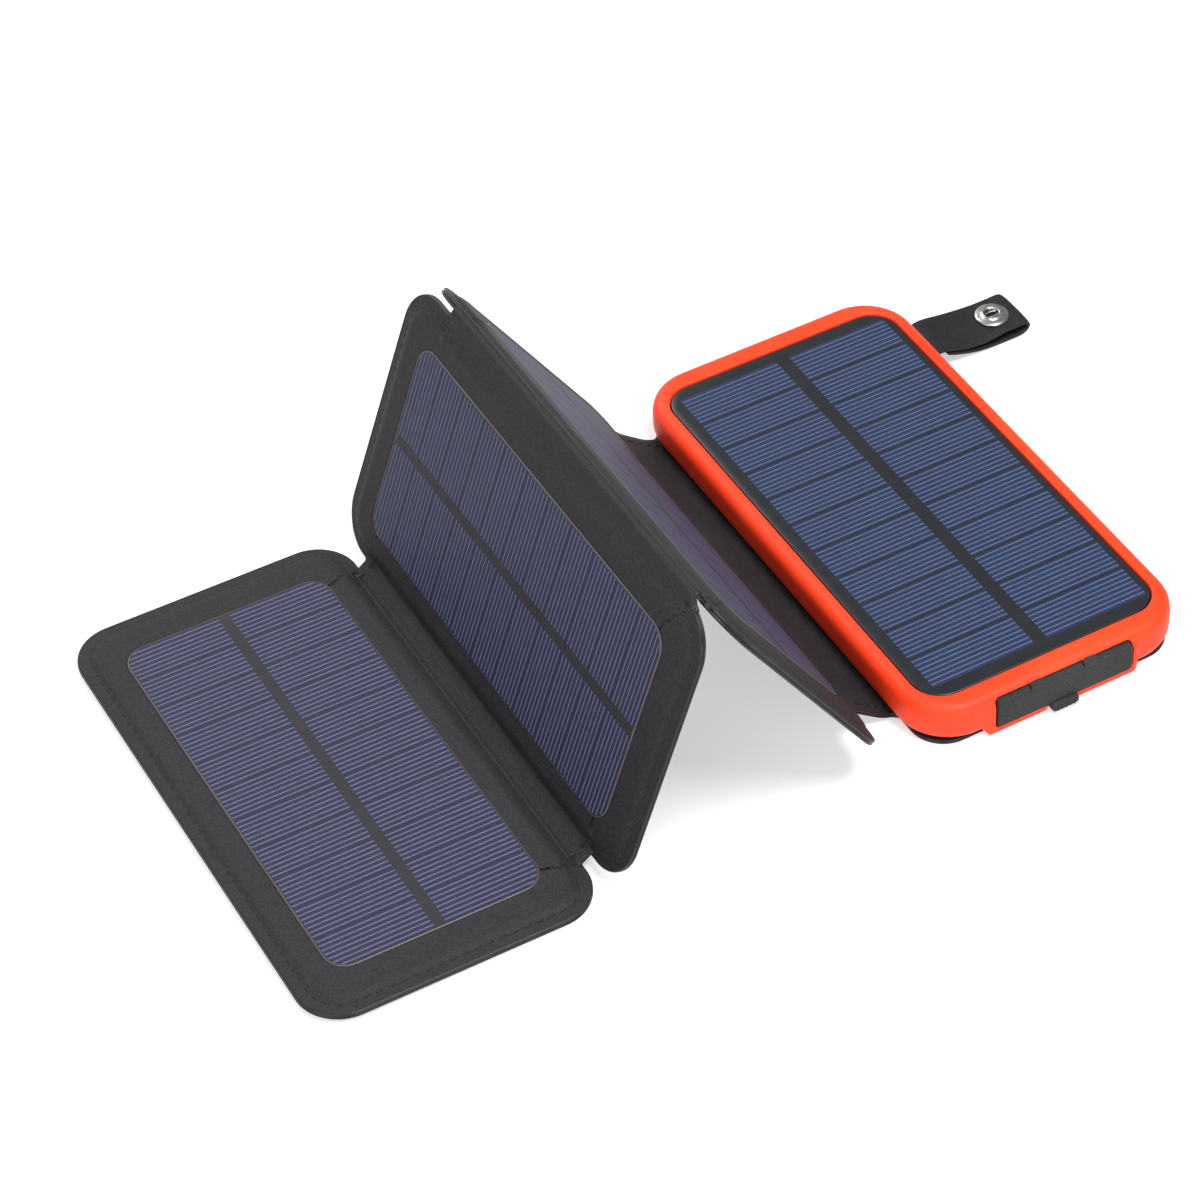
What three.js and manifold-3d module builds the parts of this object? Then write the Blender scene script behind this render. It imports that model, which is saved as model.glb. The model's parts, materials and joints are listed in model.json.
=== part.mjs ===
// Folding solar phone charger: a power bank under a solar window, with three
// leather-covered solar panels hinged to it by sewn leather creases.
// Millimetres, +Z up. The origin is on the underside of the bank's leather base,
// at its centre. The panels unfold towards -X and the closing strap is on +X.
import * as THREE from 'three';
import { mergeVertices } from 'three/addons/utils/BufferGeometryUtils.js';
import Module from 'manifold-3d';

const wasm = await Module();
wasm.setup();

// ---------------------------------------------------------------- dimensions
const GAP = 0.3;                      // clearance between neighbouring pieces
const CORNER_STEPS = 5;               // flats in a quarter-round corner

const BANK = { halfX: 40.3, halfY: 76, corner: 15, top: 13.1 };
const BASE = { halfX: 38.0, halfY: 73.8, corner: 9.5, thick: 1.4 };
const BUMPER = { wall: 2.3, rimX: 35.9, rimY: 69.2, rimCorner: 8.5, rimUnder: 11.3, lipIn: 3.9, lipTop: 3.4 };
const CASE = { inset: 2.6, foot: 4.2, wall: 1.8, bottom: 1.7, floor: 2.8, split: 6.5, roof: 9.7, top: 11.0 };
const GLASS = { halfX: 35.6, halfY: 68.9, corner: 8.2, bottom: 11.3, top: 12.7 };
const BANK_CELLS = { halfX: 32.5, halfY: 64.7, gap: 4.2, rows: 11 };

const PANEL = { halfY: 76.2, corner: 12, back: -1.0, front: 2.0, glass: 2.3 };
const SKIN = 0.6;                     // thickness of one panel skin
const WINDOW = { width: 59.3, halfY: 63.75, corner: 6.5, rows: 11, gap: 3.2 };
const STRIP = { halfY: 61.5, lead: 6, skin: 0.35 };
// The strips sit a little off centre between the panels' rounded corners.
const STRIP_SHIFT = { riser: 4, ridge: -4.5, valley: 0 };

// Fold chain: length of each link across its hinges and its slope above the table.
const HINGE_X = -41.2;
const HINGE_Z = 1.0;
const RISER = { length: 15.2, slope: 37.5 };
const PANEL_1 = { length: 80.3, slope: 56.75, windowAt: 11.0 };
const RIDGE = { length: 5.65, slope: 68.8 };
const PANEL_2 = { length: 83.0, slope: -69.4, windowAt: 15.2 };
const VALLEY = { length: 6.9, slope: -35.2 };
const PANEL_3 = { length: 78.3, slope: 0.75, windowAt: 8.5 };

const STRAP = { y: 57.5, width: 14.5, thick: 1.1, rootTop: 5.0, rootIn: 40.9, rootOut: 41.9 };
const SNAP = { x: 65.2, radius: 4.9, hole: 2.1 };
const COVER = { x0: -20, x1: 21, z0: 2.6, z1: 11.6, front: -77.0, back: -75.2 };
const COVER_HINGE = { y: -76.4, z: 12.0, radius: 0.8, lugX: 8, lugWidth: 4.6 };
const COVER_TAB = { halfWidth: 4, front: -77.7, back: -76.1, bottom: 1.1 };
const BEZEL = { x0: -22.7, x1: 23.1, front: -76.7, back: -75.7, z0: 0.8, z1: 11.9 };
const BUTTON = {
  y: -58, z: 6.55, length: 9, height: 3.6,
  face: 40.6, flange: 34.3, flangeThick: 0.9, rim: 1.0,
};
const LED = { firstY: -49, pitch: 5, count: 4, radius: 1.3, face: 40.4 };
const SCREW = { x: 29.2, y: 64.1, boss: 2.7 };

// ------------------------------------------------------------------ materials
const COLOURS = {
  leather: ['#26262a', 0.62, 0.0],
  orange: ['#f4532a', 0.45, 0.0],
  black: ['#1c1c1f', 0.5, 0.0],
  resin: ['#23252c', 0.15, 0.0],
  cell: ['#37476f', 0.25, 0.2],
  steel: ['#8d8f93', 0.3, 1.0],
  copper: ['#b8733a', 0.4, 0.9],
  board: ['#6f6a58', 0.7, 0.0],
  circuit: ['#1f5a36', 0.5, 0.0],
  pouch: ['#b9bcc2', 0.35, 0.6],
  lens: ['#d9e4f2', 0.2, 0.0],
  rubber: ['#232326', 0.8, 0.0],
};

function material(name) {
  const [color, roughness, metalness] = COLOURS[name];
  return new THREE.MeshStandardMaterial({ color, roughness, metalness });
}

// ------------------------------------------------------------- shape helpers
// Counter-clockwise rounded rectangle centred on (cx, cy).
function roundedOutline(halfX, halfY, radius, cx = 0, cy = 0) {
  const points = [];
  const corners = [[1, 1], [-1, 1], [-1, -1], [1, -1]];
  corners.forEach(([sx, sy], quarter) => {
    for (let step = 0; step <= CORNER_STEPS; step += 1) {
      const angle = (quarter + step / CORNER_STEPS) * Math.PI / 2;
      const x = cx + sx * (halfX - radius) + radius * Math.cos(angle);
      const y = cy + sy * (halfY - radius) + radius * Math.sin(angle);
      points.push(new THREE.Vector2(x, y));
    }
  });
  return points;
}

// Flat plate between two heights, with optional holes.
function plate(outline, bottom, top, holes = []) {
  const shape = new THREE.Shape(outline);
  holes.forEach((hole) => shape.holes.push(new THREE.Path(hole)));
  const geometry = new THREE.ExtrudeGeometry(shape, { depth: top - bottom, bevelEnabled: false });
  return geometry.translate(0, 0, bottom);
}

// Section drawn in (x, z), run along Y.
function sectionAlongY(points, y0, y1) {
  const shape = new THREE.Shape(points.map(([x, z]) => new THREE.Vector2(x, z)));
  const geometry = new THREE.ExtrudeGeometry(shape, { depth: y1 - y0, bevelEnabled: false });
  return geometry.rotateX(Math.PI / 2).translate(0, y1, 0);
}

function box(x0, x1, y0, y1, z0, z1) {
  const geometry = new THREE.BoxGeometry(x1 - x0, y1 - y0, z1 - z0);
  return geometry.translate((x0 + x1) / 2, (y0 + y1) / 2, (z0 + z1) / 2);
}

// Upright cylinder on (x, y) between two heights.
function post(x, y, radius, z0, z1, sides = 16) {
  const geometry = new THREE.CylinderGeometry(radius, radius, z1 - z0, sides);
  return geometry.rotateX(Math.PI / 2).translate(x, y, (z0 + z1) / 2);
}

// Pill-shaped bar that runs along X, long in Y.
function pillAlongX(x0, x1, y, z, length, height) {
  const outline = roundedOutline(height / 2, length / 2, height / 2 - 0.01);
  return plate(outline, x0, x1).rotateY(Math.PI / 2).translate(0, y, z);
}

// Closed skin over equal-count loops: end caps for a stack, none for a ring.
function loopSkin(loops, isRing) {
  const count = loops[0].length;
  const positions = loops.flat().flatMap((p) => [p.x, p.y, p.z]);
  const triangles = [];
  const bands = isRing ? loops.length : loops.length - 1;
  for (let band = 0; band < bands; band += 1) {
    const lower = band * count;
    const upper = ((band + 1) % loops.length) * count;
    for (let i = 0; i < count; i += 1) {
      const j = (i + 1) % count;
      triangles.push(lower + i, lower + j, upper + j);
      triangles.push(lower + i, upper + j, upper + i);
    }
  }
  const last = (loops.length - 1) * count;
  for (let i = 1; !isRing && i < count - 1; i += 1) {
    triangles.push(0, i + 1, i);
    triangles.push(last, last + i, last + i + 1);
  }
  const geometry = new THREE.BufferGeometry();
  geometry.setAttribute('position', new THREE.Float32BufferAttribute(positions, 3));
  geometry.setIndex(triangles);
  return geometry;
}

// Rounded-rectangle loop of the bank, a distance in from its outer wall.
function bankLoop(inset, z) {
  const outline = roundedOutline(BANK.halfX - inset, BANK.halfY - inset, BANK.corner - inset);
  return outline.map((p) => new THREE.Vector3(p.x, p.y, z));
}

function rimLoop(extra, z) {
  const outline = roundedOutline(BUMPER.rimX + extra, BUMPER.rimY + extra, BUMPER.rimCorner + extra);
  return outline.map((p) => new THREE.Vector3(p.x, p.y, z));
}

// ------------------------------------------------------------------ booleans
function toManifold(geometry) {
  const bare = new THREE.BufferGeometry();
  bare.setAttribute('position', geometry.getAttribute('position').clone());
  if (geometry.index) bare.setIndex(geometry.index.clone());
  const merged = mergeVertices(bare, 1e-4);
  const vertProperties = new Float32Array(merged.getAttribute('position').array);
  const triVerts = new Uint32Array(merged.index.array);
  return new wasm.Manifold(new wasm.Mesh({ numProp: 3, vertProperties, triVerts }));
}

function toGeometry(manifold) {
  const mesh = manifold.getMesh();
  const geometry = new THREE.BufferGeometry();
  geometry.setAttribute('position', new THREE.Float32BufferAttribute(mesh.vertProperties, 3));
  geometry.setIndex(Array.from(mesh.triVerts));
  return geometry;
}

function join(first, ...others) {
  const whole = others.reduce((sum, item) => sum.add(toManifold(item)), toManifold(first));
  return toGeometry(whole);
}

function cut(first, ...others) {
  const whole = others.reduce((sum, item) => sum.subtract(toManifold(item)), toManifold(first));
  return toGeometry(whole);
}

function overlap(first, second) {
  return toGeometry(toManifold(first).intersect(toManifold(second)));
}

// --------------------------------------------------------------- scene graph
const charger = new THREE.Group();

function addPiece(name, geometry, colour, parent = charger) {
  const mesh = new THREE.Mesh(geometry, material(colour));
  mesh.name = name;
  parent.add(mesh);
  return mesh;
}

// ------------------------------------------------------------ the bank's base
const TONGUE = { endX: HINGE_X + 1.0, innerX: -BASE.halfX + 3, flare: 1.6 };

function baseLeather() {
  const board = plate(roundedOutline(BASE.halfX, BASE.halfY, BASE.corner), 0, BASE.thick);
  const near = STRIP_SHIFT.riser - STRIP.halfY;
  const far = STRIP_SHIFT.riser + STRIP.halfY;
  const tongue = new THREE.Shape();
  tongue.moveTo(TONGUE.innerX, near - TONGUE.flare);
  tongue.lineTo(-BASE.halfX, near - TONGUE.flare);
  tongue.quadraticCurveTo(-BASE.halfX - 1, near, TONGUE.endX, near);
  tongue.lineTo(TONGUE.endX, far);
  tongue.quadraticCurveTo(-BASE.halfX - 1, far, -BASE.halfX, far + TONGUE.flare);
  tongue.lineTo(TONGUE.innerX, far + TONGUE.flare);
  const tongueSolid = new THREE.ExtrudeGeometry(tongue, {
    depth: BASE.thick, bevelEnabled: false, curveSegments: 5,
  });
  const y0 = STRAP.y - STRAP.width / 2;
  const y1 = STRAP.y + STRAP.width / 2;
  const strapFoot = box(BASE.halfX - 2, STRAP.rootOut, y0, y1, 0, BASE.thick);
  const strapRoot = box(STRAP.rootIn, STRAP.rootOut, y0, y1, 0, STRAP.rootTop);
  return join(board, tongueSolid, strapFoot, strapRoot);
}

// ---------------------------------------------------------------- the bumper
const CASE_WALL_X = BANK.halfX - CASE.inset;      // outside of the case's long walls
const SLOT_PLAY = 0.7;                // button slot over the button

// Opening around the power button, cut along X through the walls.
const buttonSlot = (x0, x1) => pillAlongX(
  x0, x1, BUTTON.y, BUTTON.z, BUTTON.length + SLOT_PLAY, BUTTON.height + SLOT_PLAY,
);

function bumper() {
  const { lipIn, lipTop, wall, rimUnder } = BUMPER;
  const ring = loopSkin([
    bankLoop(lipIn, 1.9), bankLoop(1.9, 2.1), bankLoop(0.7, 2.9), bankLoop(0, 4.4),
    bankLoop(0, 9.9), bankLoop(0.3, 11.2), bankLoop(1.1, 12.3), bankLoop(2.4, 12.95), bankLoop(3.9, BANK.top),
    rimLoop(0.3, BANK.top), rimLoop(0, 12.8), rimLoop(0, rimUnder),
    bankLoop(wall, rimUnder), bankLoop(wall, lipTop + 0.3), bankLoop(lipIn, lipTop),
  ], true);
  const bezel = box(BEZEL.x0, BEZEL.x1, -BANK.halfY, -BANK.halfY + wall - 0.1, 1.9, BEZEL.z1);
  const apron = box(BEZEL.x0, BEZEL.x1, BEZEL.front, BEZEL.back, BEZEL.z0, BEZEL.z1);
  const shaped = join(ring, bezel, apron);
  const tools = [
    box(COVER.x0 - 0.4, COVER.x1 + 0.4, -80, -72, COVER.z0 - GAP, COVER.z1 + GAP),
    box(-4.6, 4.6, -80, -75.8, 0, COVER.z0),
    buttonSlot(CASE_WALL_X, BANK.halfX + 2),
  ];
  for (let i = 0; i < LED.count; i += 1) {
    tools.push(ledLens(i, LED.radius + GAP, CASE_WALL_X, BANK.halfX + 2));
  }
  return cut(shaped, ...tools);
}

function ledLens(index, radius, x0, x1) {
  const lens = new THREE.CylinderGeometry(radius, radius, x1 - x0, 16);
  return lens.rotateZ(Math.PI / 2).translate((x0 + x1) / 2, LED.firstY + index * LED.pitch, BUTTON.z);
}

// ------------------------------------------------------------------ the case
const SOCKETS = [
  { name: 'usb_a_socket_1', x: -13, width: 13.1, height: 5.0, depth: 14 },
  { name: 'usb_a_socket_2', x: 2.6, width: 13.1, height: 5.0, depth: 14 },
  { name: 'usb_input_socket', x: 15.6, width: 7.6, height: 2.6, depth: 6 },
];
const SOCKET_MOUTH = -73.2;
const PCB = { bottom: 3.1, top: 4.1, near: -69.6, far: -48, narrow: 26.2, wide: 33.8, step: -61.1 };
const SHELL = 0.4;
const screwSpots = [[1, 1], [-1, 1], [-1, -1], [1, -1]].map(([sx, sy]) => [sx * SCREW.x, sy * SCREW.y]);

function wallCutters() {
  const cutters = SOCKETS.map((s) => box(
    s.x - s.width / 2 - GAP, s.x + s.width / 2 + GAP, -74, -71,
    PCB.top + GAP - 0.2, PCB.top + GAP + s.height + GAP,
  ));
  const inner = CASE_WALL_X - CASE.wall - 1;
  cutters.push(buttonSlot(inner, CASE_WALL_X + 1));
  return cutters;
}

function caseLower() {
  const top = CASE.split - GAP / 2;
  const outside = loopSkin([
    bankLoop(CASE.foot, CASE.bottom), bankLoop(CASE.foot, 3.3),
    bankLoop(CASE.inset, 4.0), bankLoop(CASE.inset, top),
  ], false);
  const inside = loopSkin([
    bankLoop(CASE.foot + CASE.wall, CASE.floor), bankLoop(CASE.foot + CASE.wall, 3.6),
    bankLoop(CASE.inset + CASE.wall, 4.6), bankLoop(CASE.inset + CASE.wall, 12),
  ], false);
  const screwHoles = screwSpots.map(([x, y]) => post(x, y, 2.0, 0, 4));
  return cut(outside, inside, ...wallCutters(), ...screwHoles);
}

function caseUpper() {
  const bottom = CASE.split + GAP / 2;
  const outside = loopSkin([bankLoop(CASE.inset, bottom), bankLoop(CASE.inset, CASE.top)], false);
  const wallInset = CASE.inset + CASE.wall;
  const inside = loopSkin([bankLoop(wallInset, 0), bankLoop(wallInset, CASE.roof)], false);
  const shell = cut(outside, inside, ...wallCutters());
  const bosses = screwSpots.map(([x, y]) => post(x, y, SCREW.boss, 3.1, CASE.roof + 0.2));
  const bores = screwSpots.map(([x, y]) => post(x, y, 1.4, 0, 8.5));
  return cut(join(shell, ...bosses), ...bores);
}

function screw(x, y) {
  const profile = [[0, 1.9], [1.7, 1.9], [1.7, 2.5], [1.1, 2.9], [1.1, 8.0], [0, 8.0]];
  const turned = new THREE.LatheGeometry(profile.map(([r, h]) => new THREE.Vector2(r, h)), 12);
  return turned.rotateX(Math.PI / 2).translate(x, y, 0);
}

function socketShell({ x, width, height, depth }) {
  const bottom = PCB.top + GAP;
  const outer = box(
    x - width / 2, x + width / 2,
    SOCKET_MOUTH, SOCKET_MOUTH + depth,
    bottom, bottom + height,
  );
  const inner = box(
    x - width / 2 + SHELL, x + width / 2 - SHELL, SOCKET_MOUTH - 1, SOCKET_MOUTH + depth - SHELL,
    bottom + SHELL, bottom + height - SHELL,
  );
  return cut(outer, inner);
}

function socketTongue({ x, width, height, depth }) {
  const bottom = PCB.top + GAP;
  const tongueTop = bottom + height - SHELL - GAP;
  const thick = height > 3 ? 1.8 : 0.7;
  const halfWidth = width / 2 - 1.4;
  return box(
    x - halfWidth, x + halfWidth,
    SOCKET_MOUTH + 1.2, SOCKET_MOUTH + depth - 1,
    tongueTop - thick, tongueTop,
  );
}

function circuitBoard() {
  const { narrow, wide, near, step, far } = PCB;
  const corners = [[-narrow, near], [narrow, near], [narrow, step], [wide, step], [wide, far],
    [-wide, far], [-wide, step], [-narrow, step]];
  return plate(corners.map(([x, y]) => new THREE.Vector2(x, y)), PCB.bottom, PCB.top);
}

// --------------------------------------------------------------- solar sheets
// One column of cells: a thin plate with a groove between neighbouring rows.
function cellColumn(field, side, bottom, top, inset) {
  const near = field.gap / 2 + inset;
  const half = side > 0 ? box(near, 100, -100, 100, bottom, top) : box(-100, -near, -100, 100, bottom, top);
  const corner = Math.max(field.corner - inset, 0.6);
  const outline = roundedOutline(field.halfX - inset, field.halfY - inset, corner);
  const blank = overlap(plate(outline, bottom, top), half);
  const pitch = 2 * field.halfY / field.rows;
  const grooves = [];
  for (let row = 1; row < field.rows; row += 1) {
    const y = -field.halfY + row * pitch;
    grooves.push(box(-100, 100, y - 0.4, y + 0.4, top - 0.2, top + 1));
  }
  return inset > 0 ? cut(blank, ...grooves) : blank;
}

// Resin sheet with a pocket for each column of cells.
function laminate(outline, bottom, top, field, pocketDepth) {
  const left = cellColumn(field, -1, top - pocketDepth, top + 1, 0);
  const right = cellColumn(field, 1, top - pocketDepth, top + 1, 0);
  return cut(plate(outline, bottom, top), left, right);
}

// ------------------------------------------------------------- bank assembly
addPiece('base_leather', baseLeather(), 'leather');
addPiece('bumper', bumper(), 'orange');
addPiece('case_lower', caseLower(), 'black');
addPiece('case_upper', caseUpper(), 'black');
screwSpots.forEach(([x, y], i) => addPiece(`case_screw_${i + 1}`, screw(x, y), 'steel'));

const POCKET = 0.8;
const bankField = { ...BANK_CELLS, corner: 0.8 };
const glassOutline = roundedOutline(GLASS.halfX, GLASS.halfY, GLASS.corner);
addPiece('bank_laminate', laminate(glassOutline, GLASS.bottom, GLASS.top, bankField, POCKET), 'resin');
addPiece('bank_cells_left', cellColumn(bankField, -1, GLASS.top - 0.5, GLASS.top - 0.05, GAP), 'cell');
addPiece('bank_cells_right', cellColumn(bankField, 1, GLASS.top - 0.5, GLASS.top - 0.05, GAP), 'cell');

const BATTERY = { inner: 0.6, outer: 34.0, y0: -46, y1: 61, z0: 3.1, z1: 9.3 };
const pouchCell = (x0, x1) => box(x0, x1, BATTERY.y0, BATTERY.y1, BATTERY.z0, BATTERY.z1);
addPiece('battery_left', pouchCell(-BATTERY.outer, -BATTERY.inner), 'pouch');
addPiece('battery_right', pouchCell(BATTERY.inner, BATTERY.outer), 'pouch');
addPiece('circuit_board', circuitBoard(), 'circuit');
SOCKETS.forEach((socket) => {
  addPiece(socket.name, socketShell(socket), 'steel');
  addPiece(`${socket.name}_tongue`, socketTongue(socket), 'black');
});
const SWITCH = { back: 29.3, front: 32.5, halfY: 2.5, top: 8.4 };
const switchBody = box(
  SWITCH.back, SWITCH.front,
  BUTTON.y - SWITCH.halfY, BUTTON.y + SWITCH.halfY,
  PCB.top + GAP, SWITCH.top,
);
addPiece('button_switch', switchBody, 'black');
for (let i = 0; i < LED.count; i += 1) {
  addPiece(`status_lens_${i + 1}`, ledLens(i, LED.radius, CASE_WALL_X + GAP, LED.face), 'lens');
}

// ------------------------------------------------------- button, cover, strap
function powerButton() {
  const flangeFront = BUTTON.flange + BUTTON.flangeThick;
  const cap = pillAlongX(flangeFront - 0.1, BUTTON.face, BUTTON.y, BUTTON.z, BUTTON.length, BUTTON.height);
  const flange = pillAlongX(
    BUTTON.flange, flangeFront, BUTTON.y, BUTTON.z,
    BUTTON.length + 2 * BUTTON.rim, BUTTON.height + 0.8 * BUTTON.rim,
  );
  const stem = new THREE.CylinderGeometry(1, 1, 1.2, 12);
  stem.rotateZ(Math.PI / 2).translate(BUTTON.flange - 0.2, BUTTON.y, BUTTON.z);
  return join(cap, flange, stem);
}
addPiece('power_button', powerButton(), 'rubber');

function portCover() {
  const midX = (COVER.x0 + COVER.x1) / 2;
  const outline = roundedOutline((COVER.x1 - COVER.x0) / 2, (COVER.z1 - COVER.z0) / 2, 1.2);
  const face = plate(outline, COVER.front, COVER.back);
  face.rotateX(Math.PI / 2).translate(midX, COVER.front + COVER.back, (COVER.z0 + COVER.z1) / 2);
  const tab = COVER_TAB;
  const pieces = [box(-tab.halfWidth, tab.halfWidth, tab.front, tab.back, tab.bottom, COVER.z0 + 0.6)];
  [-1, 1].forEach((side) => {
    const knuckleRadius = COVER_HINGE.radius;
    const knuckle = new THREE.CylinderGeometry(knuckleRadius, knuckleRadius, COVER_HINGE.lugWidth, 16);
    knuckle.rotateZ(Math.PI / 2).translate(side * COVER_HINGE.lugX, COVER_HINGE.y, COVER_HINGE.z);
    pieces.push(knuckle);
  });
  SOCKETS.forEach((socket) => {
    const plugHalf = socket.width / 2 - 2.5;
    const bottom = PCB.top + GAP + SHELL + 0.25;
    const plugTop = socket.height > 3 ? bottom + 1.6 : bottom + 0.6;
    pieces.push(box(
      socket.x - plugHalf, socket.x + plugHalf,
      COVER.back - 0.2, SOCKET_MOUTH + 0.6,
      bottom, plugTop,
    ));
  });
  return join(face, ...pieces);
}
addPiece('port_cover', portCover(), 'rubber');

// Leather strap folded back under itself; its centre line runs in (x, z).
const strapLine = [
  [42.2, 5.6], [44.4, 6.0], [50, 5.8], [57, 4.8], [63, 4.3], [69.5, 4.3], [72.2, 3.9],
  [73.0, 2.7], [72.0, 1.3], [69.5, 0.65], [60, 0.65], [55, 1.4], [50, 2.9], [47, 4.0],
];

// Section of even thickness along an open centre line.
function bandSection(line, thick) {
  const left = [];
  const right = [];
  line.forEach((point, i) => {
    const before = line[Math.max(i - 1, 0)];
    const after = line[Math.min(i + 1, line.length - 1)];
    const length = Math.hypot(after[0] - before[0], after[1] - before[1]);
    const nx = -(after[1] - before[1]) / length * thick / 2;
    const nz = (after[0] - before[0]) / length * thick / 2;
    left.push([point[0] + nx, point[1] + nz]);
    right.push([point[0] - nx, point[1] - nz]);
  });
  return left.concat(right.reverse());
}

function strap() {
  const section = bandSection(strapLine, STRAP.thick);
  const band = sectionAlongY(section, STRAP.y - STRAP.width / 2, STRAP.y + STRAP.width / 2);
  return cut(band, post(SNAP.x, STRAP.y, SNAP.hole, 3, 6));
}
addPiece('strap', strap(), 'leather');

// Female snap: a flanged eyelet through the strap's upper layer.
function snapSocket() {
  const profile = [
    [1.1, 3.2], [3.6, 3.2], [3.6, 3.5], [1.7, 3.5], [1.7, 5.15],
    [SNAP.radius, 5.15], [SNAP.radius - 0.4, 5.6],
    [3.6, 5.9], [3.3, 6.2], [2.6, 6.2], [2.3, 5.6], [1.1, 5.5], [1.1, 3.2],
  ];
  const turned = new THREE.LatheGeometry(profile.map(([r, h]) => new THREE.Vector2(r, h)), 20);
  return turned.rotateX(Math.PI / 2).translate(SNAP.x, STRAP.y, 0);
}
addPiece('strap_snap_socket', snapSocket(), 'steel');

// ---------------------------------------------------------------- fold chain
// A link's group lies with +X along the link, away from the bank, and +Z on the solar side.
function linkGroup(hinge, slope) {
  const group = new THREE.Group();
  group.position.set(hinge.x, 0, hinge.z);
  group.rotation.set(0, THREE.MathUtils.degToRad(slope), Math.PI);
  charger.add(group);
  return group;
}

function nextHinge(hinge, link) {
  const slope = THREE.MathUtils.degToRad(link.slope);
  return { x: hinge.x - link.length * Math.cos(slope), z: hinge.z + link.length * Math.sin(slope) };
}

// Soft crease strip: two skins with a flat copper lead between them.
function addStrip(name, link, hinge, lift, near, far) {
  const group = linkGroup(hinge, link.slope);
  const x1 = link.length - far;
  const y0 = -STRIP_SHIFT[name] - STRIP.halfY;
  const y1 = -STRIP_SHIFT[name] + STRIP.halfY;
  addPiece(`${name}_back_skin`, box(near, x1, y0, y1, lift - 1.0, lift - 1.0 + STRIP.skin), 'leather', group);
  addPiece(`${name}_lead`, box(near, x1, -STRIP.lead, STRIP.lead, lift - 0.35, lift - 0.15), 'copper', group);
  const frontSkin = box(near, x1, y0, y1, lift + 0.15, lift + 0.15 + STRIP.skin);
  addPiece(`${name}_front_skin`, frontSkin, 'leather', group);
}

// Solar panel: back skin, stiff board, resin sheet with cells, front skin with its window.
function addPanel(name, link, hinge, near, far) {
  const group = linkGroup(hinge, link.slope);
  const halfX = (link.length - near - far) / 2;
  const midX = near + halfX;
  const skinOutline = roundedOutline(halfX, PANEL.halfY, PANEL.corner, midX);
  const boardOutline = roundedOutline(halfX - 2, PANEL.halfY - 2.5, PANEL.corner - 2, midX);
  const windowX = link.windowAt + WINDOW.width / 2;
  const windowOutline = roundedOutline(WINDOW.width / 2, WINDOW.halfY, WINDOW.corner, windowX);
  const sheetOutline = roundedOutline(WINDOW.width / 2 - GAP, WINDOW.halfY - GAP, WINDOW.corner - GAP);
  const field = {
    ...WINDOW,
    halfX: WINDOW.width / 2 - 0.9,
    halfY: WINDOW.halfY - 0.9,
    corner: WINDOW.corner - 0.9,
  };

  addPiece(`${name}_back_skin`, plate(skinOutline, PANEL.back, PANEL.back + SKIN), 'leather', group);
  addPiece(`${name}_board`, plate(boardOutline, -0.1, 0.75), 'board', group);
  addPiece(`${name}_front_skin`, plate(skinOutline, 1.1, PANEL.front, [windowOutline]), 'leather', group);
  const sheet = laminate(sheetOutline, 1.05, PANEL.glass, field, POCKET).translate(windowX, 0, 0);
  addPiece(`${name}_laminate`, sheet, 'resin', group);
  [['left', -1], ['right', 1]].forEach(([side, sign]) => {
    const cells = cellColumn(field, sign, PANEL.glass - 0.5, PANEL.glass - 0.05, GAP);
    addPiece(`${name}_cells_${side}`, cells.translate(windowX, 0, 0), 'cell', group);
  });
  return group;
}

const hinge0 = { x: HINGE_X, z: HINGE_Z };
const hinge1 = nextHinge(hinge0, RISER);
const hinge2 = nextHinge(hinge1, PANEL_1);
const hinge3 = nextHinge(hinge2, RIDGE);
const hinge4 = nextHinge(hinge3, PANEL_2);
const hinge5 = nextHinge(hinge4, VALLEY);

addStrip('riser', RISER, hinge0, 0, 1.2, 1.0);
addPanel('panel_1', PANEL_1, hinge1, 1.7, 1.3);
addStrip('ridge', RIDGE, hinge2, 0.8, 1.0, 2.0);
addPanel('panel_2', PANEL_2, hinge3, 2.6, 1.7);
addStrip('valley', VALLEY, hinge4, 0, 1.0, 1.0);
const lastPanel = addPanel('panel_3', PANEL_3, hinge5, 1.7, 0);

// Male snap stud on the outside of the last panel, near its free edge.
function snapStud() {
  const profile = [[0, -1.3], [4.5, -1.3], [4.5, -1.5], [1.6, -1.6], [1.6, -1.9], [0, -1.9]];
  const turned = new THREE.LatheGeometry(profile.reverse().map(([r, h]) => new THREE.Vector2(r, h)), 20);
  return turned.rotateX(Math.PI / 2).translate(PANEL_3.length - 9, -STRAP.y, 0);
}
addPiece('panel_3_snap_stud', snapStud(), 'steel', lastPanel);

export default charger;
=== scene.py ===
# Folding solar phone charger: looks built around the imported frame.
# Lengths are in millimetres here and turned into metres when a mesh is made.
import json
import math
import bmesh
import bpy
import numpy as np
from mathutils import Matrix, Vector, noise


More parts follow.
